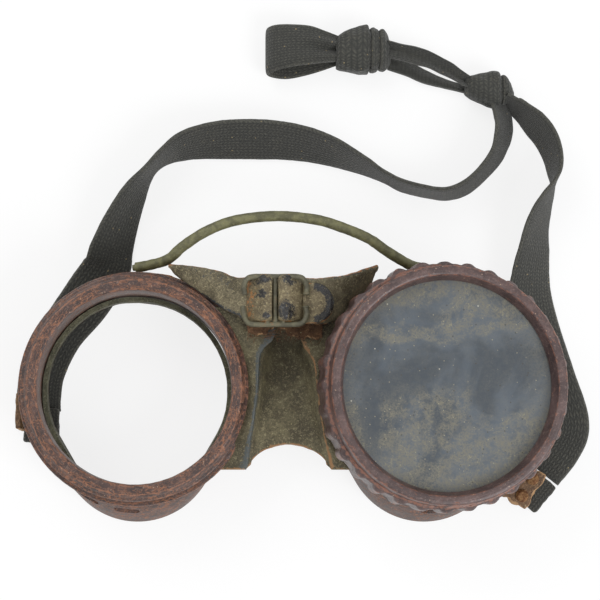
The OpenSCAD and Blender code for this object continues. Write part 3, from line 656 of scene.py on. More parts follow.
def tinted_glass(name, code):
    """Dark filter glass, faintly clouded."""
    material, board, shader = new_material(name)
    cloud = board.noise(in_millimetres(board), 0.1, 3.0)
    colour = board.blend(cloud, ink(code), ink("#20261f"))
    wire_up(board, shader, colour, board.sums("ADD", 0.05, board.sums("MULTIPLY", cloud, 0.1)),
            board.bump(cloud, 0.05, 0.02), IOR=1.5)
    return material


def rubber(name):
    """Matt dark rubber."""
    material, board, shader = new_material(name)
    fine = board.noise(in_millimetres(board), 1.5, 5.0)
    wire_up(board, shader, board.blend(fine, ink("#2a2926"), ink("#3c3a35")), 0.8,
            board.bump(fine, 0.3, 0.05))
    return material


def tarnished(name):
    """Brown tarnished metal."""
    material, board, shader = new_material(name)
    fine = board.noise(in_millimetres(board), 1.6, 5.0, 0.7)
    wire_up(board, shader, board.blend(board.steps(fine, 0.4, 0.62), ink("#5a3a26"), ink("#8a6a48")),
            board.sums("ADD", 0.35, board.sums("MULTIPLY", fine, 0.4)), board.bump(fine, 0.4, 0.06),
            Metallic=0.8)
    return material


FILTER_GLASS = tinted_glass("Filter glass", "#11170f")
GASKET_RUBBER = rubber("Gasket rubber")
RIVET_METAL = tarnished("Tarnished rivet")

# Cups

THREAD_TOP = -1.2
THREAD_LOW = -7.9
THREAD_PITCH = 3.3
THREAD_SHARE = 0.72
THREAD_ROOT = 25.0


def thread_lift(w, angle):
    """Height of the worn round thread above its root."""
    turn = (w / THREAD_PITCH + angle / (2 * math.pi)) % 1
    crest = max(0.0, math.sin(math.pi * turn / THREAD_SHARE)) ** 0.8 if turn < THREAD_SHARE else 0.0
    ends = ease(w, THREAD_LOW, THREAD_LOW + 0.8) * ease(-w, -THREAD_TOP, -THREAD_TOP + 0.9)
    return (THREAD_R - THREAD_ROOT) * crest * ends


def mark_rings(piece, side, rule):
    """Edge marks of a turned piece by the radius and the height of each corner."""
    edge = piece.data.attributes.new("edge", "FLOAT", "POINT")
    centre = in_frame(ring_point(side, 0, 0, 0))
    axis = (in_frame(ring_point(side, 1, 0, 0)) - centre).normalized()
    for corner, value in zip(piece.data.vertices, edge.data):
        away = (corner.co - centre) / MM
        w = away.dot(axis)
        value.value = rule((away - axis * w).length, w)
    return piece


def neck_wear(r, w):
    """Worn lines at the face's two edges, the thread's crests and the shoulder's corners; the inner edge's
    line is also a painted highlight.
    """
    outer = ease(abs(r - FACE_R + 0.15) + abs(w + 0.12), 0.5, 0.1)
    # The face's inner edge line is painted bright, standing in for its highlight.
    inner = 0.8 * ease(abs(r - BORE_R - 0.25) + abs(w + 0.1), 0.45, 0.1)
    crest = 0.55 * ease(r, THREAD_R - 0.4, THREAD_R - 0.05) if THREAD_LOW < w < THREAD_TOP else 0.0
    shoulder = 0.75 * ease(r, SHOULDER_R - 0.25, SHOULDER_R) if w < THREAD_LOW else 0.0
    return max(outer, inner, crest, shoulder)


def make_neck(side):
    """Neck of a cup: bore, flat seat, worn thread and shoulder ring."""
    rows = 30
    profile = [(BORE_R, -NECK_H), (BORE_R, -7.0), (BORE_R, -3.5), (BORE_R, -0.5),
               (BORE_R + 0.1, -0.18), (BORE_R + 0.35, 0), (BORE_R + 0.9, 0), (BORE_R + 1.5, 0),
               (FACE_R - 0.55, 0), (FACE_R - 0.25, -0.05), (FACE_R, -0.3), (THREAD_ROOT - 0.1, -0.75)]
    profile += [(THREAD_ROOT, mix(THREAD_TOP, THREAD_LOW, k / rows)) for k in range(rows + 1)]
    profile += [(THREAD_ROOT + 0.1, -8.0), (SHOULDER_R - 0.4, -8.0), (SHOULDER_R - 0.12, -8.1),
                (SHOULDER_R, -8.35), (SHOULDER_R + 0.02, -9.0), (SHOULDER_R, -9.65),
                (SHOULDER_R - 0.12, -9.9), (SHOULDER_R - 0.4, -NECK_H), (BORE_R, -NECK_H)]
    seated = on_seat(side)

    def shape(point):
        x, y, w = point
        r, angle = math.hypot(x, y), math.atan2(y, x)
        if abs(r - THREAD_ROOT) < 0.05 and THREAD_LOW <= w <= THREAD_TOP:
            r += thread_lift(w, angle)
        chip = max(0.0, grain(point, 2.2, 3) - 0.42) * 0.5
        if r > FACE_R - 0.4 and w > -1:
            r -= chip
            w -= chip * 0.6
        r += 0.05 * grain(point, 1.3, 5)
        w += 0.03 * grain(point, 0.9, 8)
        return seated((r * math.cos(angle), r * math.sin(angle), w))

    return mark_rings(turned(f"cup_neck_{side}", profile, 256, shape), side, neck_wear)


# Rows of a wall's section, down the outside, round the base rim and up the inside: share of height, inset
RIM_ROWS = [(0.985, 0.0), (0.997, 0.12), (1.0, 0.4), (1.0, WALL - 0.4), (0.997, WALL - 0.12),
            (0.985, WALL)]
OUTER_ROWS = 26
INNER_ROWS = 14
WALL_ROWS = [(k / OUTER_ROWS, 0.0) for k in range(OUTER_ROWS)] + RIM_ROWS
WALL_ROWS += [(1 - k / INNER_ROWS, WALL) for k in range(1, INNER_ROWS + 1)] + [(0.0, 0.0)]
RIM_MIDDLE = OUTER_ROWS + (len(RIM_ROWS) - 1) / 2


def make_wall(side):
    """Flared wall of a cup down to its base rim, with three air slots."""
    rows = len(WALL_ROWS) - 1

    def shape(u, v):
        t, inset = WALL_ROWS[round(v * rows)]
        phi = 360 * u
        point = wall_point(side, t, phi, inset)
        wave = 0.16 * grain(point, 9, 2) + 0.05 * grain(point, 2.5, 4)
        low = 0.3 * math.exp(-((t - 0.26) / 0.05) ** 2) + 0.18 * math.exp(-((t - 0.12) / 0.03) ** 2)
        if inset == 0:
            wave -= low * max(0.0, -math.sin(math.radians(phi))) ** 0.5 * (0.8 + 0.5 * grain(point, 8, 6))
        fade = ease(t, 0, 0.06) * (1 - ease(t, 0.93, 0.98)) if inset < WALL / 2 else 0.0
        return point + outward(side, phi) * (wave * fade)

    def edge(u, v):
        return 0.7 * ease(abs(v * rows - RIM_MIDDLE), 4, 1)

    piece = moulded(f"cup_wall_{side}", 240, rows, shape, marks={"edge": edge})
    for phi in VENT_ANGLES:
        cut_slot(piece, side, phi)
    return piece


def cut_slot(piece, side, phi):
    """Cuts one round-ended air slot through a wall."""
    length, height = VENT_SIZE
    clear_selection()
    bpy.ops.mesh.primitive_cylinder_add(vertices=24, radius=height / 2 * MM, depth=12 * MM,
                                        rotation=(0, math.pi / 2, 0))
    slot = start_piece("slot_cutter")
    bpy.ops.object.transform_apply(location=False, rotation=True, scale=False)
    for corner in slot.data.vertices:
        corner.co.y += math.copysign((length - height) / 2 * MM, corner.co.y)
    a = math.radians(phi)
    middle = RIGHT_X if side == "right" else -LEFT_X
    reach = rim_point(side, phi, WALL / 2) - Vector((SIGN[side] * middle, 0, 0))
    far = math.hypot(reach.x, reach.y)
    for corner in slot.data.vertices:
        x, y, z = corner.co.x / MM + far, corner.co.y / MM, corner.co.z / MM
        corner.co = in_frame((SIGN[side] * (middle + x * math.cos(a) - y * math.sin(a)),
                              x * math.sin(a) + y * math.cos(a), z + VENT_Z))
    tidy_mesh(slot)
    apply_modifier(piece, "BOOLEAN", operation="DIFFERENCE", object=slot, solver="EXACT")
    bpy.data.objects.remove(slot)


for side, resin_finish in (("left", RESIN_LEFT), ("right", RESIN_RIGHT)):
    body = f"{side}_cup"
    finished(make_neck(side), body, resin_finish, [f"eyecup_{side}"], 35)
    finished(make_wall(side), body, resin_finish, [f"eyecup_{side}"], 35)


# Leather on the cups

LAY_GAP = 0.25
WRAP_ANGLES = (-24, 196)
WRAP_TOP = 0.12
WRAP_LOW = 0.66
WRAP_OUT = 1.35
LINING_TOP = 0.66
LINING_LOW = 0.96
LINING_T = 1.1


def section_loop(t, low, high, outer, inner, bulge):
    """Place round a flat leather strip's section: height share and inset, for t from 0 to 1."""
    corners = [(low, inner), (low, outer), (high, outer), (high, inner), (low, inner)]
    at = t * 4
    i = min(3, int(at))
    a, b = corners[i], corners[i + 1]
    f = at - i
    crown = bulge * math.sin(math.pi * f) if i == 1 else 0
    return mix(a[0], b[0], f), mix(a[1], b[1], f) - crown


def make_wrap(side):
    """Leather band round the brow side of a cup, its upper edge torn."""
    first, last = WRAP_ANGLES
    torn = {"left": 1.0, "right": 0.4}[side]

    def shape(u, v):
        phi = mix(first, last, u)
        rag = grain((phi * 0.35, 0, 0), 1.0, 11) * 0.03 + grain((phi * 1.4, 0, 0), 1.0, 12) * 0.012
        lift = 1.5 * torn * math.exp(-((phi - 108) / 26) ** 2)
        top = WRAP_TOP + rag * 1.6 - 0.07 * torn * math.exp(-((phi - 110) / 22) ** 2)
        t, inset = section_loop(v, top, WRAP_LOW + rag, -WRAP_OUT, -LAY_GAP, 0.15)
        point = wall_point(side, max(t, 0.02), phi, inset)
        flare = lift * (1 - ease(t, 0.1, 0.42))
        rough = 0.14 * grain(point, 2.5, 21) + 0.1 * torn * grain(point, 0.8, 22)
        return point + outward(side, phi) * (flare + rough)

    return moulded(f"leather_band_{side}", 200, 36, shape, marks={
        "edge": lambda u, v: ease(abs(v - 0.2), 0.12, 0.04), "rub_and_shade": lambda u, v: 0.35}, fill=True)


def make_lining(side):
    """Thin leather lining inside a base rim."""
    def shape(u, v):
        phi = 360 * u
        t, inset = section_loop(v, LINING_TOP, LINING_LOW, WALL + LAY_GAP, WALL + LAY_GAP + LINING_T, -0.1)
        t += 0.012 * grain((phi * 0.2, 0, 0), 1.0, 31) * (1 - ease(t, 0.7, 0.9))
        point = wall_point(side, t, phi, inset)
        return point + outward(side, phi) * 0.08 * grain(point, 1.5, 33)

    return moulded(f"base_lining_{side}", 180, 28, shape, marks={
        "edge": lambda u, v: ease(abs(v - 0.62), 0.22, 0.1), "rub_and_shade": lambda u, v: 0.0})


for side in SIGN:
    body = f"{side}_cup"
    finished(make_wrap(side), body, OLIVE_LEATHER, [f"leather_wrap_{side}"])
    finished(make_lining(side), body, LINING_LEATHER, [f"rim_lining_{side}"])

# Lenses and cap

COVER_T = 1.5
CAP_BORE_R = 26.0
CAP_POCKET_R = LENS_R + 0.3
GRIP_TOP = 4.55
SIGHT_FLARE = 0.9

refinish("filter_lens_right", FILTER_GLASS)
refinish("lens_gasket_right", GASKET_RUBBER)


def make_cover_glass():
    """Thin cover glass with a ground edge."""
    low = STACK_H - COVER_T
    profile = [(LENS_R - 0.15, low), (LENS_R, low + 0.15), (LENS_R, STACK_H - 0.15),
               (LENS_R - 0.15, STACK_H)]
    rings = [LENS_R * (1 - k / 12) for k in range(1, 12)]
    profile = [(r, low) for r in reversed(rings)] + profile + [(r, STACK_H) for r in rings]
    return turned("cover_glass", profile, 96, on_seat("right"), cored=False)


def lug_lift(angle, w):
    """Height of the cap's worn lugs above the grip's root."""
    pitch = 2 * math.pi / LUG_COUNT
    number = round(angle / pitch)
    off = angle - number * pitch
    centre = GRIP_R + LUG_OUT - LUG_R
    inside = LUG_R ** 2 - (centre * math.sin(off)) ** 2
    if inside <= 0:
        return 0.0
    reach = centre * math.cos(off) + math.sqrt(inside) - GRIP_R
    worn = 0.72 + 0.3 * noise.noise(Vector((number % LUG_COUNT * 1.7, 4.2, 0.5)))
    ends = ease(w, -SKIRT_H + 0.1, -SKIRT_H + 1.0) * (1 - ease(w, 3.4, 4.5))
    return max(0.0, reach) * worn * ends


def make_cap():
    """Screw cap: lugged grip, flange with its flared sight opening."""
    rows = 18
    top = GRIP_TOP
    inner = SIGHT_R + SIGHT_FLARE
    profile = [(CAP_BORE_R, -SKIRT_H), (GRIP_R - 0.4, -SKIRT_H), (GRIP_R - 0.12, -SKIRT_H + 0.1)]
    profile += [(GRIP_R, mix(-SKIRT_H + 0.35, top - 0.5, k / rows)) for k in range(rows + 1)]
    profile += [(GRIP_R - 0.1, top - 0.15), (GRIP_R - 0.4, top + 0.05), (FLANGE_R + 0.12, top + 0.12),
                (FLANGE_R, top + 0.35)]
    profile += [(FLANGE_R, mix(top + 0.7, FLANGE_FRONT - 0.9, k / 5)) for k in range(6)]
    profile += [(FLANGE_R - 0.06, FLANGE_FRONT - 0.5), (FLANGE_R - 0.25, FLANGE_FRONT - 0.18),
                (FLANGE_R - 0.6, FLANGE_FRONT), (FLANGE_R - 1.1, FLANGE_FRONT),
                (inner + 0.6, FLANGE_FRONT), (inner + 0.25, FLANGE_FRONT - 0.03),
                (inner, FLANGE_FRONT - 0.25)]
    profile += [(mix(inner, SIGHT_R, k / 6), mix(FLANGE_FRONT - 0.3, STACK_H + 0.8, k / 6))
                for k in range(1, 7)]
    profile += [(SIGHT_R, STACK_H + 0.08), (CAP_POCKET_R, STACK_H + 0.08), (CAP_POCKET_R, 0.0),
                (CAP_BORE_R, -0.7), (CAP_BORE_R, -SKIRT_H)]
    seated = on_seat("right")

    def shape(point):
        x, y, w = point
        r, angle = math.hypot(x, y), math.atan2(y, x)
        if r > GRIP_R - 0.45 and w < top + 0.1:
            r += lug_lift(angle, w)
            r += 0.12 * grain(point, 1.5, 41) + 0.3 * max(0.0, grain(point, 1.1, 42) - 0.25)
            w += 0.1 * grain(point, 2.0, 43)
        elif w > top + 0.3:
            r += 0.02 * grain(point, 1.5, 44)
            w += 0.025 * grain(point, 1.2, 45)
        return seated((r * math.cos(angle), r * math.sin(angle), w))

    def wear(r, w):
        outer = 0.9 * ease(abs(r - FLANGE_R + 0.1) + abs(w - FLANGE_FRONT + 0.45), 0.7, 0.2)
        # The sight opening's edge line is worn and also a painted highlight.
        inner_wear_and_highlight = 0.7 * ease(abs(r - inner) + abs(w - FLANGE_FRONT + 0.1), 0.5, 0.12)
        step = 0.8 * ease(abs(w - top - 0.1), 0.4, 0.1) if FLANGE_R - 0.2 < r < GRIP_R else 0.0
        return max(outer, inner_wear_and_highlight, step, 0.7 * ease(r, GRIP_R + 0.3, GRIP_R + 0.9))

    return mark_rings(turned("screw_cap", profile, 512, shape), "right", wear)


finished(make_cover_glass(), "lens_carrier", LENS_GLASS, ["cover_glass_right"])
finished(make_cap(), "lens_cap", RESIN_CAP, ["lens_cap_right"], 50)


# Nose saddle

SADDLE_TOP = 16.8
SADDLE_LOW = -12.6
SADDLE_T = 1.2
ARCH = 6.0
FLAP_Z = 19.6
FLAP_SHARE = 0.18
TROUGH_Z = 9
TROUGH_HALF = 5.2
# Edges of the two front flaps down the nose: y, left x, right x
FLAP_EDGES = ((12.4, -3.2, 2.9), (10.8, -3.9, 2.9), (9.2, -5.8, 3.6), (7.4, -6.7, 5.2),
              (5.2, -6.9, 6.0), (1.0, -7.1, 6.5), (-2.7, -7.4, 6.9), (-7.0, -8.0, 7.5),
              (-12.6, -8.9, 8.6), (-19.0, -9.8, 9.9))


def flap_edge(y, side):
    """x of a flap's edge beside the trough at that y."""
    for (y0, l0, r0), (y1, l1, r1) in zip(FLAP_EDGES, FLAP_EDGES[1:]):
        if y >= y1:
            f = min(1.0, max(0.0, (y0 - y) / (y0 - y1)))
            return mix(l0, l1, f) if side < 0 else mix(r0, r1, f)
    return FLAP_EDGES[-1][1] if side < 0 else FLAP_EDGES[-1][2]


def flap_root(y, side):
    """x where a flap meets its cup, from the cup's middle and its radius at the flap."""
    middle, radius = {-1: (-SEAT_X + 0.1, 26.4), 1: (SEAT_X - 1.5, 27.1)}[side]
    return middle - side * math.sqrt(radius ** 2 - min(24, abs(y)) ** 2)


def make_saddle():
    """Leather nose saddle: a trough behind two front flaps, cut to an arch below."""
    def shape(u, v):
        s = 2 * u - 1
        side = -1 if s < 0 else 1
        a = abs(s)
        reach = min(1.0, a / (1 - FLAP_SHARE))
        y = mix(SADDLE_TOP + 1.8 * ease(a, 0.78, 0.9), SADDLE_LOW - ARCH * reach ** 1.7, v)
        edge_x, root_x = flap_edge(y, side), flap_root(y, side)
        middle = (flap_edge(y, -1) + flap_edge(y, 1)) / 2
        front_z = FLAP_Z - 4.2 * v * v
        floor_z = TROUGH_Z + 4 * v
        wide = mix(max(abs(edge_x - middle), TROUGH_HALF), abs(edge_x - middle), ease(v, 0.2, 0.5))
        if a <= 1 - FLAP_SHARE:
            bow = math.sin(math.pi / 2 * reach)
            x = middle + side * (wide - 0.9) * min(1.0, 1.06 * bow)
            if reach > 0.86:
                x = mix(x, edge_x, ease(reach, 0.86, 1.0))
            z = mix(floor_z, front_z, 1 - math.cos(math.pi / 2 * reach ** 1.5))
        else:
            f = (a - 1 + FLAP_SHARE) / FLAP_SHARE
            far = root_x if side * (root_x - edge_x) > 0 else edge_x + side * 0.4
            x = mix(edge_x, far + side * 0.9, f)
            z = front_z + 0.25 * math.sin(math.pi * f) - 0.5 * f
        ripple = 0.12 * grain((x, y, z), 3.5, 51) + 0.05 * grain((x, y, z), 1.1, 52)
        return Vector((x + 0.15 * grain((0, y, side), 4, 53), y, z + ripple))

    def edge_mark(u, v):
        a = abs(2 * u - 1)
        flap = ease(abs(a - (1 - FLAP_SHARE)), 0.05, 0.01)
        return max(flap * (0.9 if u > 0.5 else 0.25), ease(v, 0.975, 1.0))

    # Painted shade in the crease beside each flap edge, strong on the left and faint on the right, laid in
    # the saddle leather's worn colour.
    def flap_crease_shade(u, v):
        return ease(abs(abs(2 * u - 1) - (1 - FLAP_SHARE)), 0.07, 0.02) * (0.2 if u > 0.5 else 1.0)

    piece = moulded("nose_leather", 120, 110, shape, marks={"edge": edge_mark, "rub_and_shade": flap_crease_shade})
    apply_modifier(piece, "SOLIDIFY", thickness=SADDLE_T * MM, offset=-1, use_even_offset=False)
    return piece


LEFT_BLEND = ("left_cup", "right_cup", in_frame((-10.5, 0, 15)), in_frame((-4.5, 0, 15)))
finished(make_saddle(), LEFT_BLEND, SADDLE_LEATHER, ["nose_saddle"])


# Bands of leather and webbing

def band_frame(route, t):
    """Middle, direction, across and up of a flat band at t, with its twist and width."""
    x, y, z, twist, width = along(route, t)
    step = 0.002
    ahead, behind = along(route, min(1, t + step)), along(route, max(0, t - step))
    heading = Vector([a - b for a, b in zip(ahead[:3], behind[:3])]).normalized()
    across = Vector((0, 0, 1)).cross(heading).normalized()
    up = heading.cross(across)
    c, s = math.cos(math.radians(twist)), math.sin(math.radians(twist))
    return Vector((x, y, z)), heading, across * c + up * s, up * c - across * s, width


def route_length(route, steps=200):
    """Length of a route's curve in millimetres."""
    points = [Vector(along(route, k / steps)[:3]) for k in range(steps + 1)]
    return sum((b - a).length for a, b in zip(points, points[1:]))


def side_share(v):
    """Share across a flat piece from -1 to 1, at v round its section."""
    return -math.cos(2 * math.pi * v)


def strip_chart(length, width):
    """Pattern map of a flat strip: millimetres along it and across it."""
    return lambda u, v: (u * length, side_share(v) * width / 2)


def edge_length(rows):
    """Length of a strap's first edge."""
    return sum((Vector(b[:3]) - Vector(a[:3])).length for a, b in zip(rows, rows[1:]))


def flat_section(v, power=8):
    """Share across from -1 to 1 and height from -1 to 1 on a flat piece's section, at v round it."""
    s = side_share(v)
    height = max(0.0, 1 - abs(s) ** power) ** 0.5
    return s, height if v < 0.5 else -height


def side_marks():
    """Marks of a flat piece: its worn edges."""
    return {"edge": lambda u, v: ease(abs(side_share(v)), 0.84, 0.98), "rub_and_shade": lambda u, v: 0.0}


def make_band(name, route, thick, columns, rows):
    """Closed flat band with soft edges that follows a route of x, y, z, twist and width."""
    length = route_length(route)

    def shape(u, v):
        middle, _, across, up, width = band_frame(route, u)
        s, height = flat_section(v)
        reach = width / 2 * s * (1 + 0.0096 * grain((u * length, s * 3, 0), 0.9, 61))
        point = middle + across * reach + up * (height * thick / 2)
        point += up * (0.06 * grain(middle + across * reach, 2.0, 62))
        point.z = max(point.z, 0.02)
        return point

    return moulded(name, columns, rows, shape, marks=side_marks(),
                   chart=strip_chart(length, route[0][4]), fill=True)


def make_strap(name, rows, thick, columns, around, seed, ripple, marks, torn):
    """Closed flat strap between two edges, each row of the route giving x, y, z of both."""
    def ends(u):
        row = along(rows, u)
        return Vector(row[:3]), Vector(row[3:])

    length = edge_length(rows)

    def shape(u, v):
        s, height = flat_section(v)
        rag = 0.03 * grain((s * 3, 0, 0), 1.0, seed) + 0.015 * grain((s * 9, 0, 0), 1.0, seed)
        rag *= torn * ease(u, 0.8, 1.0)
        (a, b), (c, d) = ends(min(1.0, max(0.0, u + rag))), ends(min(1.0, u + 0.01))
        e, f = ends(max(0.0, u - 0.01))
        up = (b - a).cross(mix(c, d, 0.5) - mix(e, f, 0.5)).normalized()
        up = up if up.z > 0 else -up
        point = mix(a, b, (s + 1) / 2)
        point += (b - a).normalized() * 0.14 * grain((u * length, s, 0), 1.3, seed + 1) * abs(s) ** 4
        swell = ripple * grain(point, 2.6, seed + 2) + 0.05 * grain(point, 0.8, seed + 3)
        return point + up * (height * thick / 2 + swell)

    width = (Vector(rows[0][3:]) - Vector(rows[0][:3])).length
    return moulded(name, columns, around, shape, marks=marks, chart=strip_chart(length, width), fill=True)


STRAP_T = 1.3
# Brow and cheek edge of each bridge strap: x, y, z of both, from its loop to its cup
BRIDGE_EDGES = {
    "left": [(-8.8, 25.1, 23.9, -9.1, 14.8, 23.9), (-12.2, 25.1, 23.6, -12.0, 16.5, 23.3),
             (-15.5, 26.5, 22.5, -15.1, 18.0, 22.0), (-19.5, 27.5, 21.0, -18.7, 20.7, 20.4),
             (-24.0, 28.3, 19.2, -22.6, 23.5, 18.7), (-27.6, 28.6, 17.6, -25.6, 26.2, 17.0)],
    "right": [(-8.9, 25.2, 23.0, -8.9, 14.9, 23.0), (-5.4, 25.3, 23.1, -5.4, 14.8, 23.1),
              (-1.0, 25.3, 23.3, -1.0, 14.7, 23.3), (3.7, 24.9, 23.7, 3.7, 14.5, 23.7),
              (6.5, 24.8, 24.0, 6.5, 14.3, 23.4), (9.5, 25.2, 23.2, 9.0, 14.6, 21.7),
              (12.9, 25.7, 21.9, 11.6, 16.2, 19.3), (16.5, 27.0, 19.4, 14.0, 19.4, 16.4),
              (20.5, 28.6, 16.2, 18.0, 23.4, 13.0)]}


def strap_marks(side):
    """Raw long edges, and on the left strap raw ends, a cheek edge darkened as painted shade and rubbed
    patches; on the right strap both long edges darkened.
    """
    def edge(u, v):
        sides = 0.75 * ease(abs(side_share(v)), 0.93, 1.0)
        ends = max(ease(u, 0.965, 0.99), 0.8 * ease(u, 0.09, 0.02)) if side == "left" else 0.0
        return max(sides, ends)

    def rub_and_shade(u, v):
        s = side_share(v)
        # Painted shade: the left strap's cheek edge darkened in the leather's worn colour.
        low = 0.9 * ease(s, 0.62, 0.9)
        spots = 0.42 * ease(-s, 0.05, 0.4) * ease(u, 0.15, 0.3) * (1 - ease(u, 0.75, 0.9))
        # On the right strap both long edges are darkened, the cheek edge as painted shade.
        return max(low, spots) if side == "left" else 0.6 * ease(abs(s), 0.8, 0.97)

    return {"edge": edge, "rub_and_shade": rub_and_shade}


for side in SIGN:
    strap = make_strap(f"bridge_leather_{side}", BRIDGE_EDGES[side], STRAP_T, 110, 64,
                       seed=201, ripple=0.16, marks=strap_marks(side), torn=1.0)
    finished(strap, f"{side}_cup", OLIVE_LEATHER, [f"bridge_strap_{side}"])


# Buckle

LOOP_ROLL = ((0.1, 0.02), 1.93)
LOOP_FOOT = ((3.7, -2.15), 1.05)
FRAME_HALF_W = 7.1
FRAME_HALF_H = 5.4
FRAME_CORNER_R = 2.2
LEG_SPLIT = 1.2
# How far the frame's split leg ends lean out of line, brow half and cheek half: left, right
LEG_PULLS = ((1, 0.25, -0.1), (-1, -0.25, -0.25))
TONGUE_X = (3.35, 10.3)
TONGUE_R = 4.6


def loop_section(direction, side):
    """Point in x and z of the folded strap's outline that lies farthest along a direction."""
    circles = (LOOP_ROLL, LOOP_FOOT)
    dx, dz = math.cos(direction), math.sin(direction)
    best = max(circles, key=lambda c: c[0][0] * dx + c[0][1] * dz + c[1])
    (cx, cz), r = best
    return side * (cx + r * dx), cz + r * dz


# Glossy dark patches of the loops: x, y, half width, half height
LOOP_PATCHES = {"left": ((-6.6, 24.3, 2.9, 1.4), (-6.0, 21.0, 1.0, 1.2), (-8.2, 17.8, 0.8, 1.8),
                         (-5.0, 16.0, 1.1, 0.9)),
                "right": ((0.3, 24.2, 1.9, 1.5), (-0.6, 17.2, 1.9, 2.5), (2.6, 22.4, 0.6, 0.9))}


def make_loop(side):
    """Strap end folded over its bar: a swollen leather roll that bulges over the upper rod."""
    s = SIGN[side]
    bar = BAR_RIGHT_X if s > 0 else BAR_LEFT_X
    flat = BAR_X + s * (WIRE_R + 0.17) - bar

    def place(u, v):
        f = -math.cos(math.pi * v)
        end = max(0.0, 1 - abs(f) ** 9) ** 0.5
        x, z = loop_section(2 * math.pi * u, s)
        over = ease(z, 0.5, 1.3)
        x = mix(s * 1.3, x, 0.25 + 0.75 * end)
        z = mix(-0.5, z, 0.25 + 0.75 * end)
        x = max(x, flat) if s > 0 else min(x, flat)
        y = BAR_Y + (STRAP_W / 2 + (1.25 * over if f > 0 else 0.1)) * f
        return bar + x, y, z, f

    def shape(u, v):
        x, y, z, f = place(u, v)
        top = ease(z, -0.4, 1.0)
        if y > BAR_Y + STRAP_W / 2:
            z = max(z, 0.72 + 0.5 * (z - 0.5))
        dent = 0.26 * grain((x, y, z), 2.2, 71 + s) + 0.13 * grain((x, y, z), 0.8, 73)
        waist = -0.34 * math.exp(-((f - 0.12) / 0.2) ** 2) * top
        inward = -0.1 * s * math.exp(-((f - 0.1) / 0.3) ** 2) * (1 if abs(x - bar) > 1.4 else 0)
        return Vector((x + inward, y, BAR_Z + z + (dent + waist) * top))

    def rub_and_shade(u, v):
        x, y, z, _ = place(u, v)
        near = [1 - math.hypot((x - a) / w, (y - b) / h) for a, b, w, h in LOOP_PATCHES[side]]
        return min(1.0, max(0.3, 1.5 * max(near) + 0.42)) * ease(z, -0.8, 0.2)

    def edge(u, v):
        x, _, z, f = place(u, v)
        left = ease(x, bar - 0.9, bar - 1.8) if side == "right" else ease(x, bar - 3.6, bar - 4.4)
        return max(0.85 * ease(abs(f), 0.955, 0.99), 0.9 * left * ease(z, -2.4, -1.0))

    return moulded(f"folded_loop_{side}", 96, 80, shape, marks={"edge": edge, "rub_and_shade": rub_and_shade}, fill=True)


def make_wire(name, routes, radius, around=14, steps=60, knob=None):
    """Bent wire, one stretch for each route."""
    stretches = []
    for number, route in enumerate(routes):
        def shape(u, v, route=route):
            rows = [[*p, 0, 1] for p in route]
            middle, heading, _, _, _ = band_frame(rows, v)
            upright = abs(heading.z) > 0.9
            side = heading.orthogonal() if upright else heading.cross(Vector((0, 0, 1))).normalized()
            up = side.cross(heading).normalized()
            r = radius * (1 + 0.06 * grain(middle, 1.2, 81))
            if knob and v > 0.93:
                r += knob * math.sin(math.pi * min(1.0, (v - 0.93) / 0.07) ** 0.8)
            if v < 0.015 or v > 0.985:
                r *= 0.6
            a = 2 * math.pi * u
            return middle + (side * math.cos(a) + up * math.sin(a)) * r
        stretches.append(moulded(f"{name}_{number}", around, steps, shape, fill=True))
    return joined(stretches, name)


def buckle_routes():
    """The frame's two halves with their split legs, and the two loop bars."""
    half, r = FRAME_HALF_H, FRAME_CORNER_R
    round_off = r * (1 - math.sqrt(0.5))

    def leg(side, pull):
        """One leg from its split end round the corner, as x and height above the bars' middle."""
        x = BAR_X + side * FRAME_HALF_W
        return [(x + pull, LEG_SPLIT), (x + pull * 0.6, LEG_SPLIT + 0.8), (x, half - r),
                (x - side * round_off, half - round_off), (x - side * r, half)]

    halves = []
    for turn, left_pull, right_pull in LEG_PULLS:
        corners = leg(-1, left_pull) + [(BAR_X, half)] + leg(1, right_pull)[::-1]
        halves.append([(x, BAR_Y + turn * y, BAR_Z) for x, y in corners])
    stations = [BAR_Y + k * (half - 0.1) for k in (-1, -0.4, 0.4, 1)]
    bars = [[(x, y, BAR_Z) for y in stations] for x in (BAR_LEFT_X, BAR_RIGHT_X)]
    return [*halves, *bars]


def make_middle_bar():
    """Flat bar between the loops."""
    def shape(u, v):
        s, height = flat_section(v, 6)
        y = BAR_Y + (FRAME_HALF_H - 0.1) * (2 * u - 1)
        x = BAR_X + 0.5 * s * (1 + 0.08 * grain((0, y, s), 1.2, 85))
        return Vector((x, y, BAR_Z + 0.4 * height + 0.04 * grain((s, y, 0), 1.5, 86)))

    return moulded("flat_bar", 60, 24, shape, fill=True)


finished(make_middle_bar(), "right_cup", OLIVE_WIRE, ["buckle_frame"])
finished(make_loop("left"), "left_cup", LOOP_LEATHER, ["bridge_loop_left"], 60)
finished(make_loop("right"), "right_cup", LOOP_LEATHER, ["bridge_loop_right"], 60)
buckle = make_wire("wire_buckle", buckle_routes(), WIRE_R + 0.07, knob=0.28)
finished(buckle, "right_cup", OLIVE_WIRE, ["buckle_frame"])


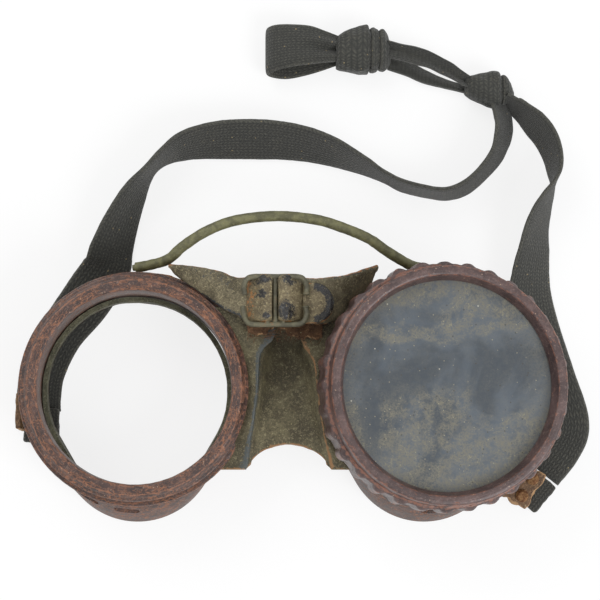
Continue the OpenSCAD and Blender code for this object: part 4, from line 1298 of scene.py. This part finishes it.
def make_tongue():
    """Free end of the right strap, rounded, its crown rubbed dark."""
    (x0, x1), r = TONGUE_X, TONGUE_R
    top = BAR_Z - WIRE_R - 0.25

    def place(u, v):
        s, height = flat_section(v, 6)
        x = mix(x0, x1, math.sin(math.pi / 2 * u))
        over = max(0.0, x - (x1 - r)) / r
        half = r * math.sqrt(max(0.0, 1 - over ** 2.2))
        return x, BAR_Y - 0.5 + half * s, height * (1 - 0.75 * ease(over, 0.8, 1.0)), over, s

    def shape(u, v):
        x, y, height, over, s = place(u, v)
        crown = 0.3 * (1 - s * s) * ease(x, 3.6, 6) - 0.25 * ease(over, 0.4, 1.0)
        rough = 0.08 * grain((x, y, 0), 1.6, 91) + 0.04 * grain((x, y, 0), 0.6, 92)
        return Vector((x, y, top - 0.5 + 0.5 * height + crown + rough))

    def rub_and_shade(u, v):
        x, y, _, _, _ = place(u, v)
        away = math.hypot(x - (x1 - r), y - BAR_Y + 0.5)
        return ease(away, 2.3, 3.2) * ease(x, 5.0, 6.4)

    def edge(u, v):
        _, y, _, _, s = place(u, v)
        return max(0.9 * ease(abs(s), 0.93, 0.99), ease(u, 0.9, 0.97)) * (1.0 if y < BAR_Y - 1 else 0.45)

    return moulded("strap_tongue", 80, 72, shape, marks={"edge": edge, "rub_and_shade": rub_and_shade}, fill=True)


finished(make_tongue(), "right_cup", LOOP_LEATHER, ["bridge_tongue"])


def make_fibres(name, count, low, high, reach, radius, seed):
    """Frayed leather: short curled fibres scattered through a box."""
    dice = random.Random(seed)
    strands = []
    for _ in range(count):
        start = Vector([dice.uniform(a, b) for a, b in zip(low, high)])
        turn = dice.uniform(0, 2 * math.pi)
        route = [start]
        for _ in range(4):
            turn += dice.uniform(-1.1, 1.1)
            heading = Vector((math.cos(turn), 0.55 * math.sin(turn), dice.uniform(-0.35, 0.35)))
            route.append(route[-1] + heading * reach)
        strands.append(route)

    def strand(number, route):
        def shape(u, v):
            x, y, z = along([list(p) for p in route], v)
            a = 2 * math.pi * u
            r = radius * (1 - 0.6 * v)
            return Vector((x + r * math.cos(a), y + 0.4 * r * math.sin(a), z + r * math.sin(a)))
        return moulded(f"{name}_{number}", 3, 7, shape, fill=True)

    made = [strand(number, route) for number, route in enumerate(strands)]
    for piece in made:
        for mark in ("edge", "rub_and_shade"):
            piece.data.attributes.new(mark, "FLOAT", "POINT")
    return joined(made, name)


FIBRE_BOX = ((-9.0, 10.9, 20.3), (7.5, 13.9, 22.2))
BACK_LOW, BACK_HIGH = (corner / MM + ORIGIN for corner in map(Vector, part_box("bridge_backing")))


def make_backing():
    """Frayed leather strip under the buckle."""
    def shape(u, v):
        s, height = flat_section(v)
        x = mix(BACK_LOW.x, BACK_HIGH.x, u) + 0.3 * grain((0, s * 4, u * 6), 1.0, 95)
        low = BACK_LOW.y + 1.3 + 1.6 * ease(abs(x + 2.7), 2.6, 1.6) - 0.9 * ease(x, -0.5, 3.0)
        y = mix(low, BACK_HIGH.y, (s + 1) / 2) + 0.9 * grain((u * 14, 0, 0), 1.0, 96) * ease(-s, 0.2, 1.0)
        z = (BACK_LOW.z + BACK_HIGH.z) / 2 + 0.6 * height
        return Vector((x, y, z + 0.25 * grain((x, y, 0), 1.0, 97)))

    return moulded("frayed_strip", 110, 60, shape, marks={
        "edge": lambda u, v: 0.55 * ease(side_share(v), -0.5, -0.95), "rub_and_shade": lambda u, v: 0.0}, fill=True)


finished(make_backing(), "right_cup", FIBRE, ["bridge_backing"])
fibres = make_fibres("leather_fibres", 130, *FIBRE_BOX, reach=0.62, radius=0.13, seed=4)
finished(fibres, "right_cup", FIBRE)


# Brow cord

CORD_R = 1.22
CORD_INSET = BODY_R - SHOULDER_R - 0.2 - 1.25
CORD_LEFT = wall_point("left", 0.3, 88, CORD_INSET)
CORD_RIGHT = wall_point("right", 0.3, 94, CORD_INSET)
CORD_ROUTE = [list(p) for p in (
    CORD_LEFT, CORD_LEFT + Vector((4, 0.6, 1.2)), (-28, 30.1, 15), (-24.4, 33, 16.5),
    (-18.9, 36.4, 17.5), (-12.2, 38.8, 18), (-3, 39.8, 18), (6.1, 39, 18), (12.2, 37.2, 18),
    (18.3, 34.7, 17.5), (22.4, 32, 16.5), (25.9, 30, 15), CORD_RIGHT + Vector((-2.6, 0.5, 1.2)),
    CORD_RIGHT)]
CORD_BLEND = ("left_cup", "right_cup", in_frame((-24, 30, 17)), in_frame((-6, 38, 17)))
cord = make_wire("brow_wire", [CORD_ROUTE], CORD_R, 20, 220)
finished(cord, CORD_BLEND, OLIVE_CORD, ["brow_cord"])


# Head strap

def edge_z(twist, width=WEB_W):
    """Height of a twisted band's middle when its lower edge lies on the table."""
    return width / 2 * abs(math.sin(math.radians(twist))) + WEB_T / 2 * abs(math.cos(math.radians(twist)))


def web(x, y, twist=0.0, width=WEB_W, z=None):
    """Row of the head strap's route; without z the strap lies on the table."""
    return [x, y, edge_z(twist) if z is None else z, twist, width]


END_X = LEFT_X - BODY_R
TAB_TURN = math.radians(-32)
LEFT_RUN = [
    web(END_X + 0.9, -4.8, 0, 10.6), web(END_X + 0.9, -1.4, 0, 10.6), web(LEFT_X - 22.7, 5, 0, 10.6),
    web(LEFT_X - 18.8, 13.4, 0, 10.8), web(LEFT_X - 12.8, 21.4, 8), web(-43.6, 28.8, 24),
    web(-42.2, 33.4, 38), web(-40, 39.6, 52), web(-36.7, 46.8, 68), web(-33.4, 51.9, 84),
    web(-30.2, 55.2, 82), web(-25.7, 57.9, 67), web(-20.8, 59.2, 57), web(-15, 59.8, 49),
    web(-8.4, 59.9, 47), web(-2.1, 59.6, 50), web(4.2, 58.6, 56), web(10.2, 56.8, 64),
    web(16.9, 53.8, 77), web(22.5, 50.8, 87), web(27.5, 48.4, 86), web(34.7, 46.8, 86),
    web(38.6, 46.9, 83), web(42.5, 48.6, 80), web(46.3, 52.1, 78), web(49.2, 55.9, 74),
    web(50.5, 59.5, 69), web(51.1, 63, 62, 10.5, 5.1), web(50.8, 66.5, 56, 8.5, 4.3),
    web(50, 69.5, 50, 6.5, 4)]
RIGHT_RUN = [
    web(58.97, -18.5), web(RIGHT_X + 31.8, -12.6), web(RIGHT_X + 33.4, -7), web(RIGHT_X + 30, 4),
    web(RIGHT_X + 26.6, 15, 7), web(57.2, 22, 25), web(57.3, 27.7, 37), web(58, 33.1, 47),
    web(58.7, 38.3, 57), web(59.9, 42.4, 65), web(61.1, 45.3, 73), web(62.6, 48.6, 84),
    web(63.1, 52.3, 99), web(62.5, 56.5, 105), web(60.8, 60.4, 109), web(58.4, 63.4, 109),
    web(56, 65.7, 107, 10.5, 5.5), web(54.2, 67.5, 105, 9, 4.6), web(51.8, 69.6, 104, 7, 4.2)]

left_run = make_band("head_strap_left_run", LEFT_RUN, WEB_T, 440, 44)
right_run = make_band("head_strap_right_run", RIGHT_RUN, WEB_T, 260, 44)
RUN_BLEND = ("left_cup", "right_cup", in_frame((-56, 8, 0)), in_frame((-42, 52, 0)))
finished(left_run, RUN_BLEND, HEAD_WEBBING, ["head_strap_left"])
finished(right_run, "right_cup", HEAD_WEBBING, ["head_strap_right"])


KNOT_ROUND = 0.72
# Outline of each knot along x: x, brow edge, cheek edge, half height
LOWER_KNOT = [(42.0, 74.2, 71.4, 2.2), (42.9, 75.2, 70.3, 3.0), (44.5, 75.7, 69.3, 3.6),
              (46.5, 76.0, 68.4, 3.8), (48.4, 76.3, 67.6, 3.9), (49.9, 76.3, 67.3, 3.8),
              (50.5, 75.6, 68.1, 3.4), (51.6, 75.4, 68.5, 3.5), (52.8, 73.9, 68.8, 3.0),
              (53.8, 71.8, 69.2, 1.8)]
UPPER_KNOT = [(11.2, 84.4, 77.4, 3.2), (12.0, 85.2, 76.8, 3.9), (14.0, 86.2, 76.3, 4.2),
              (16.4, 87.1, 76.0, 4.3), (18.5, 87.6, 75.9, 4.2), (19.3, 86.8, 76.4, 4.0),
              (20.2, 87.0, 76.2, 4.1), (21.3, 86.4, 76.6, 3.9), (22.6, 86.3, 76.5, 3.9),
              (23.7, 85.0, 77.6, 3.0), (24.3, 83.6, 78.8, 2.0)]


def make_knot(name, outline, creases, ridge, seed):
    """Knot of webbing: a folded panel and narrow turns beside it, with a crease between them."""
    first, last = outline[0][0], outline[-1][0]

    def shape(u, v):
        x, brow, cheek, half_h = along(outline, v)
        phi = 2 * math.pi * u
        c, n = math.cos(phi), math.sin(phi)
        bend = 0.35 * n
        dip = sum(math.exp(-((x - at - bend) / 0.2) ** 2) for at in creases)
        fold = math.sin((x * ridge[0] + (brow - cheek) * c * ridge[1]) * 1.1 + seed)
        rough = 0.05 * grain((x, c * 4, n * 4), 1.6, seed)
        r = 1 - 0.13 * dip + 0.045 * fold * ease(abs(n), 0.0, 0.5) + rough
        flat_r = r if abs(n) > 0.3 else mix(1, r, 0.5)
        y = (brow + cheek) / 2 + (brow - cheek) / 2 * math.copysign(abs(c) ** KNOT_ROUND, c) * flat_r
        z = half_h + half_h * math.copysign(abs(n) ** KNOT_ROUND, n) * r
        return Vector((x + 0.12 * grain((x, y, z), 1.2, seed + 1), y, max(0.05, z)))

    def edge(u, v):
        x = along(outline, v)[0] - 0.35 * math.sin(2 * math.pi * u) - 0.4
        return min(1.0, sum(math.exp(-((x - at) / 0.22) ** 2) for at in creases))

    return moulded(name, 120, 130, shape, marks={"edge": edge, "rub_and_shade": lambda u, v: 0.0},
                   chart=lambda u, v: (u * 30, mix(first, last, v)), fill=True)


# Each knot's outline, the places of its creases, its ridge and its seed
KNOTS = {"lower": (LOWER_KNOT, (50.5,), (0.6, 0.5), 3),
         "upper": (UPPER_KNOT, (19.2, 21.3), (0.5, -0.45), 6)}
for name in KNOTS:
    knot = make_knot(f"{name}_knot", *KNOTS[name])
    finished(knot, "right_cup", HEAD_WEBBING, [f"strap_knot_{name}"])

# Upper and lower edge of each ply between the knots
PLY_EDGES = {
    "upper": [(23.6, 83.6, 6.0, 23.6, 79.6, 5.4), (27.2, 82.6, 6.4, 27.0, 78.8, 5.2),
              (30.6, 82.0, 6.4, 30.4, 77.9, 4.8), (33.7, 81.0, 6.0, 33.3, 77.2, 4.6),
              (36.3, 79.7, 5.6, 36.0, 75.9, 4.4), (38.9, 78.3, 5.4, 38.8, 74.6, 4.4),
              (41.2, 76.6, 5.4, 41.0, 73.2, 4.6), (43.2, 75.2, 5.4, 43.0, 72.2, 4.8)],
    "lower": [(23.6, 81.0, 3.4, 23.6, 77.4, 1.6), (28.2, 79.4, 3.8, 28.2, 75.8, 1.2),
              (32.1, 77.2, 3.6, 32.0, 74.1, 1.2), (36.5, 75.2, 3.2, 36.5, 73.0, 1.2),
              (40.0, 74.0, 3.2, 40.0, 72.2, 1.4), (43.2, 73.4, 3.4, 43.2, 71.2, 1.8)]}


def make_ply(name, rows, hollow, seed):
    """Webbing gathered lengthwise into a gutter with rounded rims."""
    length = edge_length(rows)

    def shape(u, v):
        s, height = flat_section(v)
        row = along(rows, u)
        a, b = Vector(row[:3]), Vector(row[3:])
        wave = 0.14 * math.sin(6 * u + 3 * s + seed)
        point = mix(a, b, (s + 1) / 2)
        point.z += hollow * (s * s - 0.6) - 0.5 * hollow * ease(abs(s), 0.8, 1.0) + height * 0.62 + wave
        point.z += 0.2 * grain(point, 1.8, seed)
        point.z += 0.35 * math.sin(5 * s + 4 * u) * ease(abs(2 * u - 1), 0.4, 1.0)
        point.z = max(point.z, 0.05)
        return point

    return moulded(name, 130, 56, shape, marks=side_marks(), chart=strip_chart(length, WEB_W), fill=True)


for name, hollow, seed in (("upper", 2.0, 5), ("lower", 1.1, 9)):
    ply = make_ply(f"{name}_ply", PLY_EDGES[name], hollow, seed)
    finished(ply, "right_cup", HEAD_WEBBING, [f"strap_ply_{name}"])


def make_loop_end():
    """Flattened loop of webbing beyond the upper knot, gathered where the knot grips it."""
    route = [[11.6, 81.6, 6, 0, 6.2], [9, 81.9, 6.6, 0, 7.4], [5, 82.3, 7, 0, 9.2],
             [0, 82.1, 7.2, 0, 10.3], [-3.4, 81.7, 6.4, 0, 11.1], [-5.1, 81.3, 3.9, 0, 11.3],
             [-3.7, 81.1, 1.6, 0, 11.5], [0, 81.1, 0.8, 0, 11.7], [6, 81.3, 0.9, 0, 9.4],
             [11.6, 81.4, 2.6, 0, 6.4]]
    length = route_length(route)

    def shape(u, v):
        x, y, z, _, width = along(route, u)
        ahead, behind = along(route, min(1, u + 0.01)), along(route, max(0, u - 0.01))
        heading = Vector([a - b for a, b in zip(ahead[:3], behind[:3])]).normalized()
        across = Vector((0, 1, 0))
        up = heading.cross(across).normalized()
        s, height = flat_section(v)
        near = ease(x, -1, 11)
        point = Vector((x, y, z)) + across * (width / 2 * s) + up * (height * WEB_T / 2)
        if u < 0.5:
            fold = 0.5 * math.sin(6.5 * s) - 1.5 * math.exp(-((s + 0.05) / 0.22) ** 2)
            point.z += near * fold - 0.5 * ease(-s, 0.7, 1.0)
            point.z += 0.25 * (1 - s * s) * (1 - near)
        point.z = max(point.z + 0.1 * grain(point, 2.0, 99), 0.05)
        return point

    return moulded("loop_end", 200, 48, shape, marks=side_marks(),
                   chart=strip_chart(length, WEB_W), fill=True)


finished(make_loop_end(), "right_cup", HEAD_WEBBING, ["strap_loop_end"])


# Ends of the head strap under their tabs

def boxed(name, low, high, spot, material, body, node, wobble=0.12):
    """Folded or flat piece of a box's size, softened and worn uneven, moved into place by spot."""
    clear_selection()
    size = [b - a for a, b in zip(low, high)]
    bpy.ops.mesh.primitive_cube_add(size=1)
    piece = start_piece(name)
    for corner in piece.data.vertices:
        corner.co = Vector([mix(a, b, c + 0.5) for a, b, c in zip(low, high, corner.co)])
    focus(piece)
    bpy.ops.object.mode_set(mode="EDIT")
    bpy.ops.mesh.select_all(action="SELECT")
    bpy.ops.mesh.bevel(offset=min(size) * 0.3, segments=3, affect="EDGES")
    bpy.ops.mesh.select_all(action="SELECT")
    bpy.ops.mesh.subdivide(number_cuts=14)
    bpy.ops.object.mode_set(mode="OBJECT")
    layer = piece.data.uv_layers.active
    for loop in piece.data.loops:
        co = piece.data.vertices[loop.vertex_index].co
        layer.data[loop.index].uv = (co.y, co.x)
    marks = {mark: piece.data.attributes.new(mark, "FLOAT", "POINT") for mark in ("edge", "rub_and_shade")}
    middle = Vector([(a + b) / 2 for a, b in zip(low, high)])
    for corner, edge in zip(piece.data.vertices, marks["edge"].data):
        away = corner.co - middle
        edge.value = ease(max(abs(away.x) / size[0], abs(away.y) / size[1]), 0.44, 0.5)
        corner.co += away.normalized() * wobble * grain(corner.co, 1.6, 101) * (1 + 2 * edge.value)
        corner.co = in_frame(spot(corner.co))
    tidy_mesh(piece)
    return finished(piece, body, material, [node] if node else ())


TAB_T = 1.4
TAB_HALF_W = 4.75
TAB_UP = 10.5
LEFT_TAB_GAP = 1.6
LEFT_TAB_Y = -7.5
LEFT_LEG_SHIFT = Vector((0, 2.6, 0))
END_TOP = 2 * WEB_T + 0.1
END_L = 8.0
WALL_FOOT_X = ring_point("right", WALL_TOP, BODY_R, 0).x
TAB_REACH = WALL_FOOT_X * math.cos(TAB_TURN) + BODY_R * (1 - math.cos(TAB_TURN)) + 0.2


def turned_flat(x, y, turn):
    """A flat point turned about the upright axis."""
    c, s = math.cos(turn), math.sin(turn)
    return x * c - y * s, x * s + y * c


def right_tab_spot(turn=0.0, x0=0.0, y0=0.0):
    """Places a point of the right tab's own frame, turned and moved by x0 and y0 first."""
    def spot(point):
        x, y = turned_flat(point[0], point[1], turn)
        return Vector((*turned_flat(x0 + x + TAB_REACH, y0 + y + TAB_UP, TAB_TURN), point[2]))
    return spot


def left_tab_spot(point):
    """Places a point of the left tab's own frame, whose x runs away from the cup."""
    return Vector((END_X - LEFT_TAB_GAP - point[0], point[1] + LEFT_TAB_Y, point[2]))


boxed("folded_end_right", (-WEB_W / 2, -END_L / 2, 0.02), (WEB_W / 2, END_L / 2, END_TOP),
      right_tab_spot(math.radians(-8), 5.9, 0.6), HEAD_WEBBING, "right_cup",
      "strap_end_right")
boxed("folded_end_left", (-0.9, 3.5 - END_L, 0.02), (7.5, 3.5, END_TOP),
      lambda p: left_tab_spot((-p[0], p[1], p[2])),
      HEAD_WEBBING, "left_cup", "strap_end_left")
TAB_LOW = END_TOP + 0.15
boxed("tab_foot_right", (1.2, -TAB_HALF_W, TAB_LOW), (8.5, TAB_HALF_W, TAB_LOW + TAB_T), right_tab_spot(),
      BROWN_LEATHER, "right_cup", "strap_tab_right", 0.3)
boxed("tab_leg_right", (0, -TAB_HALF_W, TAB_LOW), (TAB_T, TAB_HALF_W, TAB_LOW + 5), right_tab_spot(),
      BROWN_LEATHER, "right_cup", None, 0.2)
boxed("tab_leg_left", (0.15, -4.3, 1.0), (0.15 + TAB_T, 4.3, 11.5),
      lambda p: left_tab_spot(p) + LEFT_LEG_SHIFT, BROWN_LEATHER, "left_cup",
      "strap_tab_left", 0.2)


def make_rivet(y, z):
    """Worn round rivet head on the left tab's outer face."""
    face = END_X - LEFT_TAB_GAP - TAB_T - 0.1
    profile = [(1.1, 0.0), (1.12, 0.15), (1.0, 0.34), (0.72, 0.5), (0.36, 0.58)]

    def seated(point):
        return Vector((face - point[2], y + point[0], z + point[1]))

    return turned(f"rivet_left_{round(y)}", profile, 28, seated, cored=False)


RIVET_Z = 7.6
RIVET_Y = (-7.3, -2.5)
for y in RIVET_Y:
    finished(make_rivet(y, RIVET_Z), "left_cup", RIVET_METAL, ["tab_rivets_left"])
refinish("tab_rivets_right", RIVET_METAL)


# Studio

FLOOR_SIZE = 6
FLOOR_DROP = 0.0003
FLOOR_GLOW = 0.8
WORLD_LIGHT = 0.72
CAMERA_PLACE = (0.001, -0.0502, 0.4974)
CAMERA_TILT = math.radians(5)
CAMERA_LENS = 125.4
CAMERA_SENSOR = 36

clear_selection()
bpy.ops.mesh.primitive_plane_add(size=FLOOR_SIZE, location=(0, 0, -FLOOR_DROP))
floor = start_piece("floor")
floor_material, board, shader = new_material("Pale floor")
wire_up(board, shader, ink("#f2f2f2"), 1.0, board.bump(0.5, 0.0, 0.01), Specular_IOR_Level=0.0)
glow = board.put("ShaderNodeEmission", {"Color": (1, 1, 1, 1), "Strength": 1.0}).outputs[0]
share = board.sums("MULTIPLY", board.seen_directly(), FLOOR_GLOW)
lit = board.put("ShaderNodeMixShader", {0: share, 1: shader.outputs[0], 2: glow}).outputs[0]
board.tree.links.new(lit, board.tree.nodes["Material Output"].inputs["Surface"])
floor.data.materials.append(floor_material)

world = bpy.data.worlds.new("Studio")
bpy.context.scene.world = world
world.use_nodes = True
sky = Board(world.node_tree)
strength = sky.put("ShaderNodeMix", {0: sky.seen_directly(), 2: WORLD_LIGHT, 3: 1.0},
                   data_type="FLOAT").outputs[0]
background = world.node_tree.nodes["Background"]
background.inputs["Color"].default_value = (1, 1, 1, 1)
sky.tree.links.new(strength, background.inputs["Strength"])


def soft_lamp(name, place, power, size, tint=(1, 1, 1)):
    """Broad lamp turned towards the goggles."""
    data = bpy.data.lights.new(name, "AREA")
    data.energy, data.size, data.color = power, size, tint
    lamp = bpy.data.objects.new(name, data)
    bpy.context.scene.collection.objects.link(lamp)
    lamp.location = place
    lamp.rotation_euler = (-Vector(place)).to_track_quat("-Z", "Y").to_euler()


soft_lamp("Key lamp", (0.55, -0.45, 0.7), 5.0, 0.45, (0.97, 0.98, 1.0))
soft_lamp("Top lamp", (-0.5, 0.6, 0.9), 4.0, 0.6)

camera_data = bpy.data.cameras.new("Camera")
camera_data.lens = CAMERA_LENS
camera_data.sensor_width = CAMERA_SENSOR
camera = bpy.data.objects.new("Camera", camera_data)
bpy.context.scene.collection.objects.link(camera)
camera.location = CAMERA_PLACE
camera.rotation_euler = (CAMERA_TILT, 0, 0)
bpy.context.scene.camera = camera
bpy.context.scene.view_settings.view_transform = "Standard"
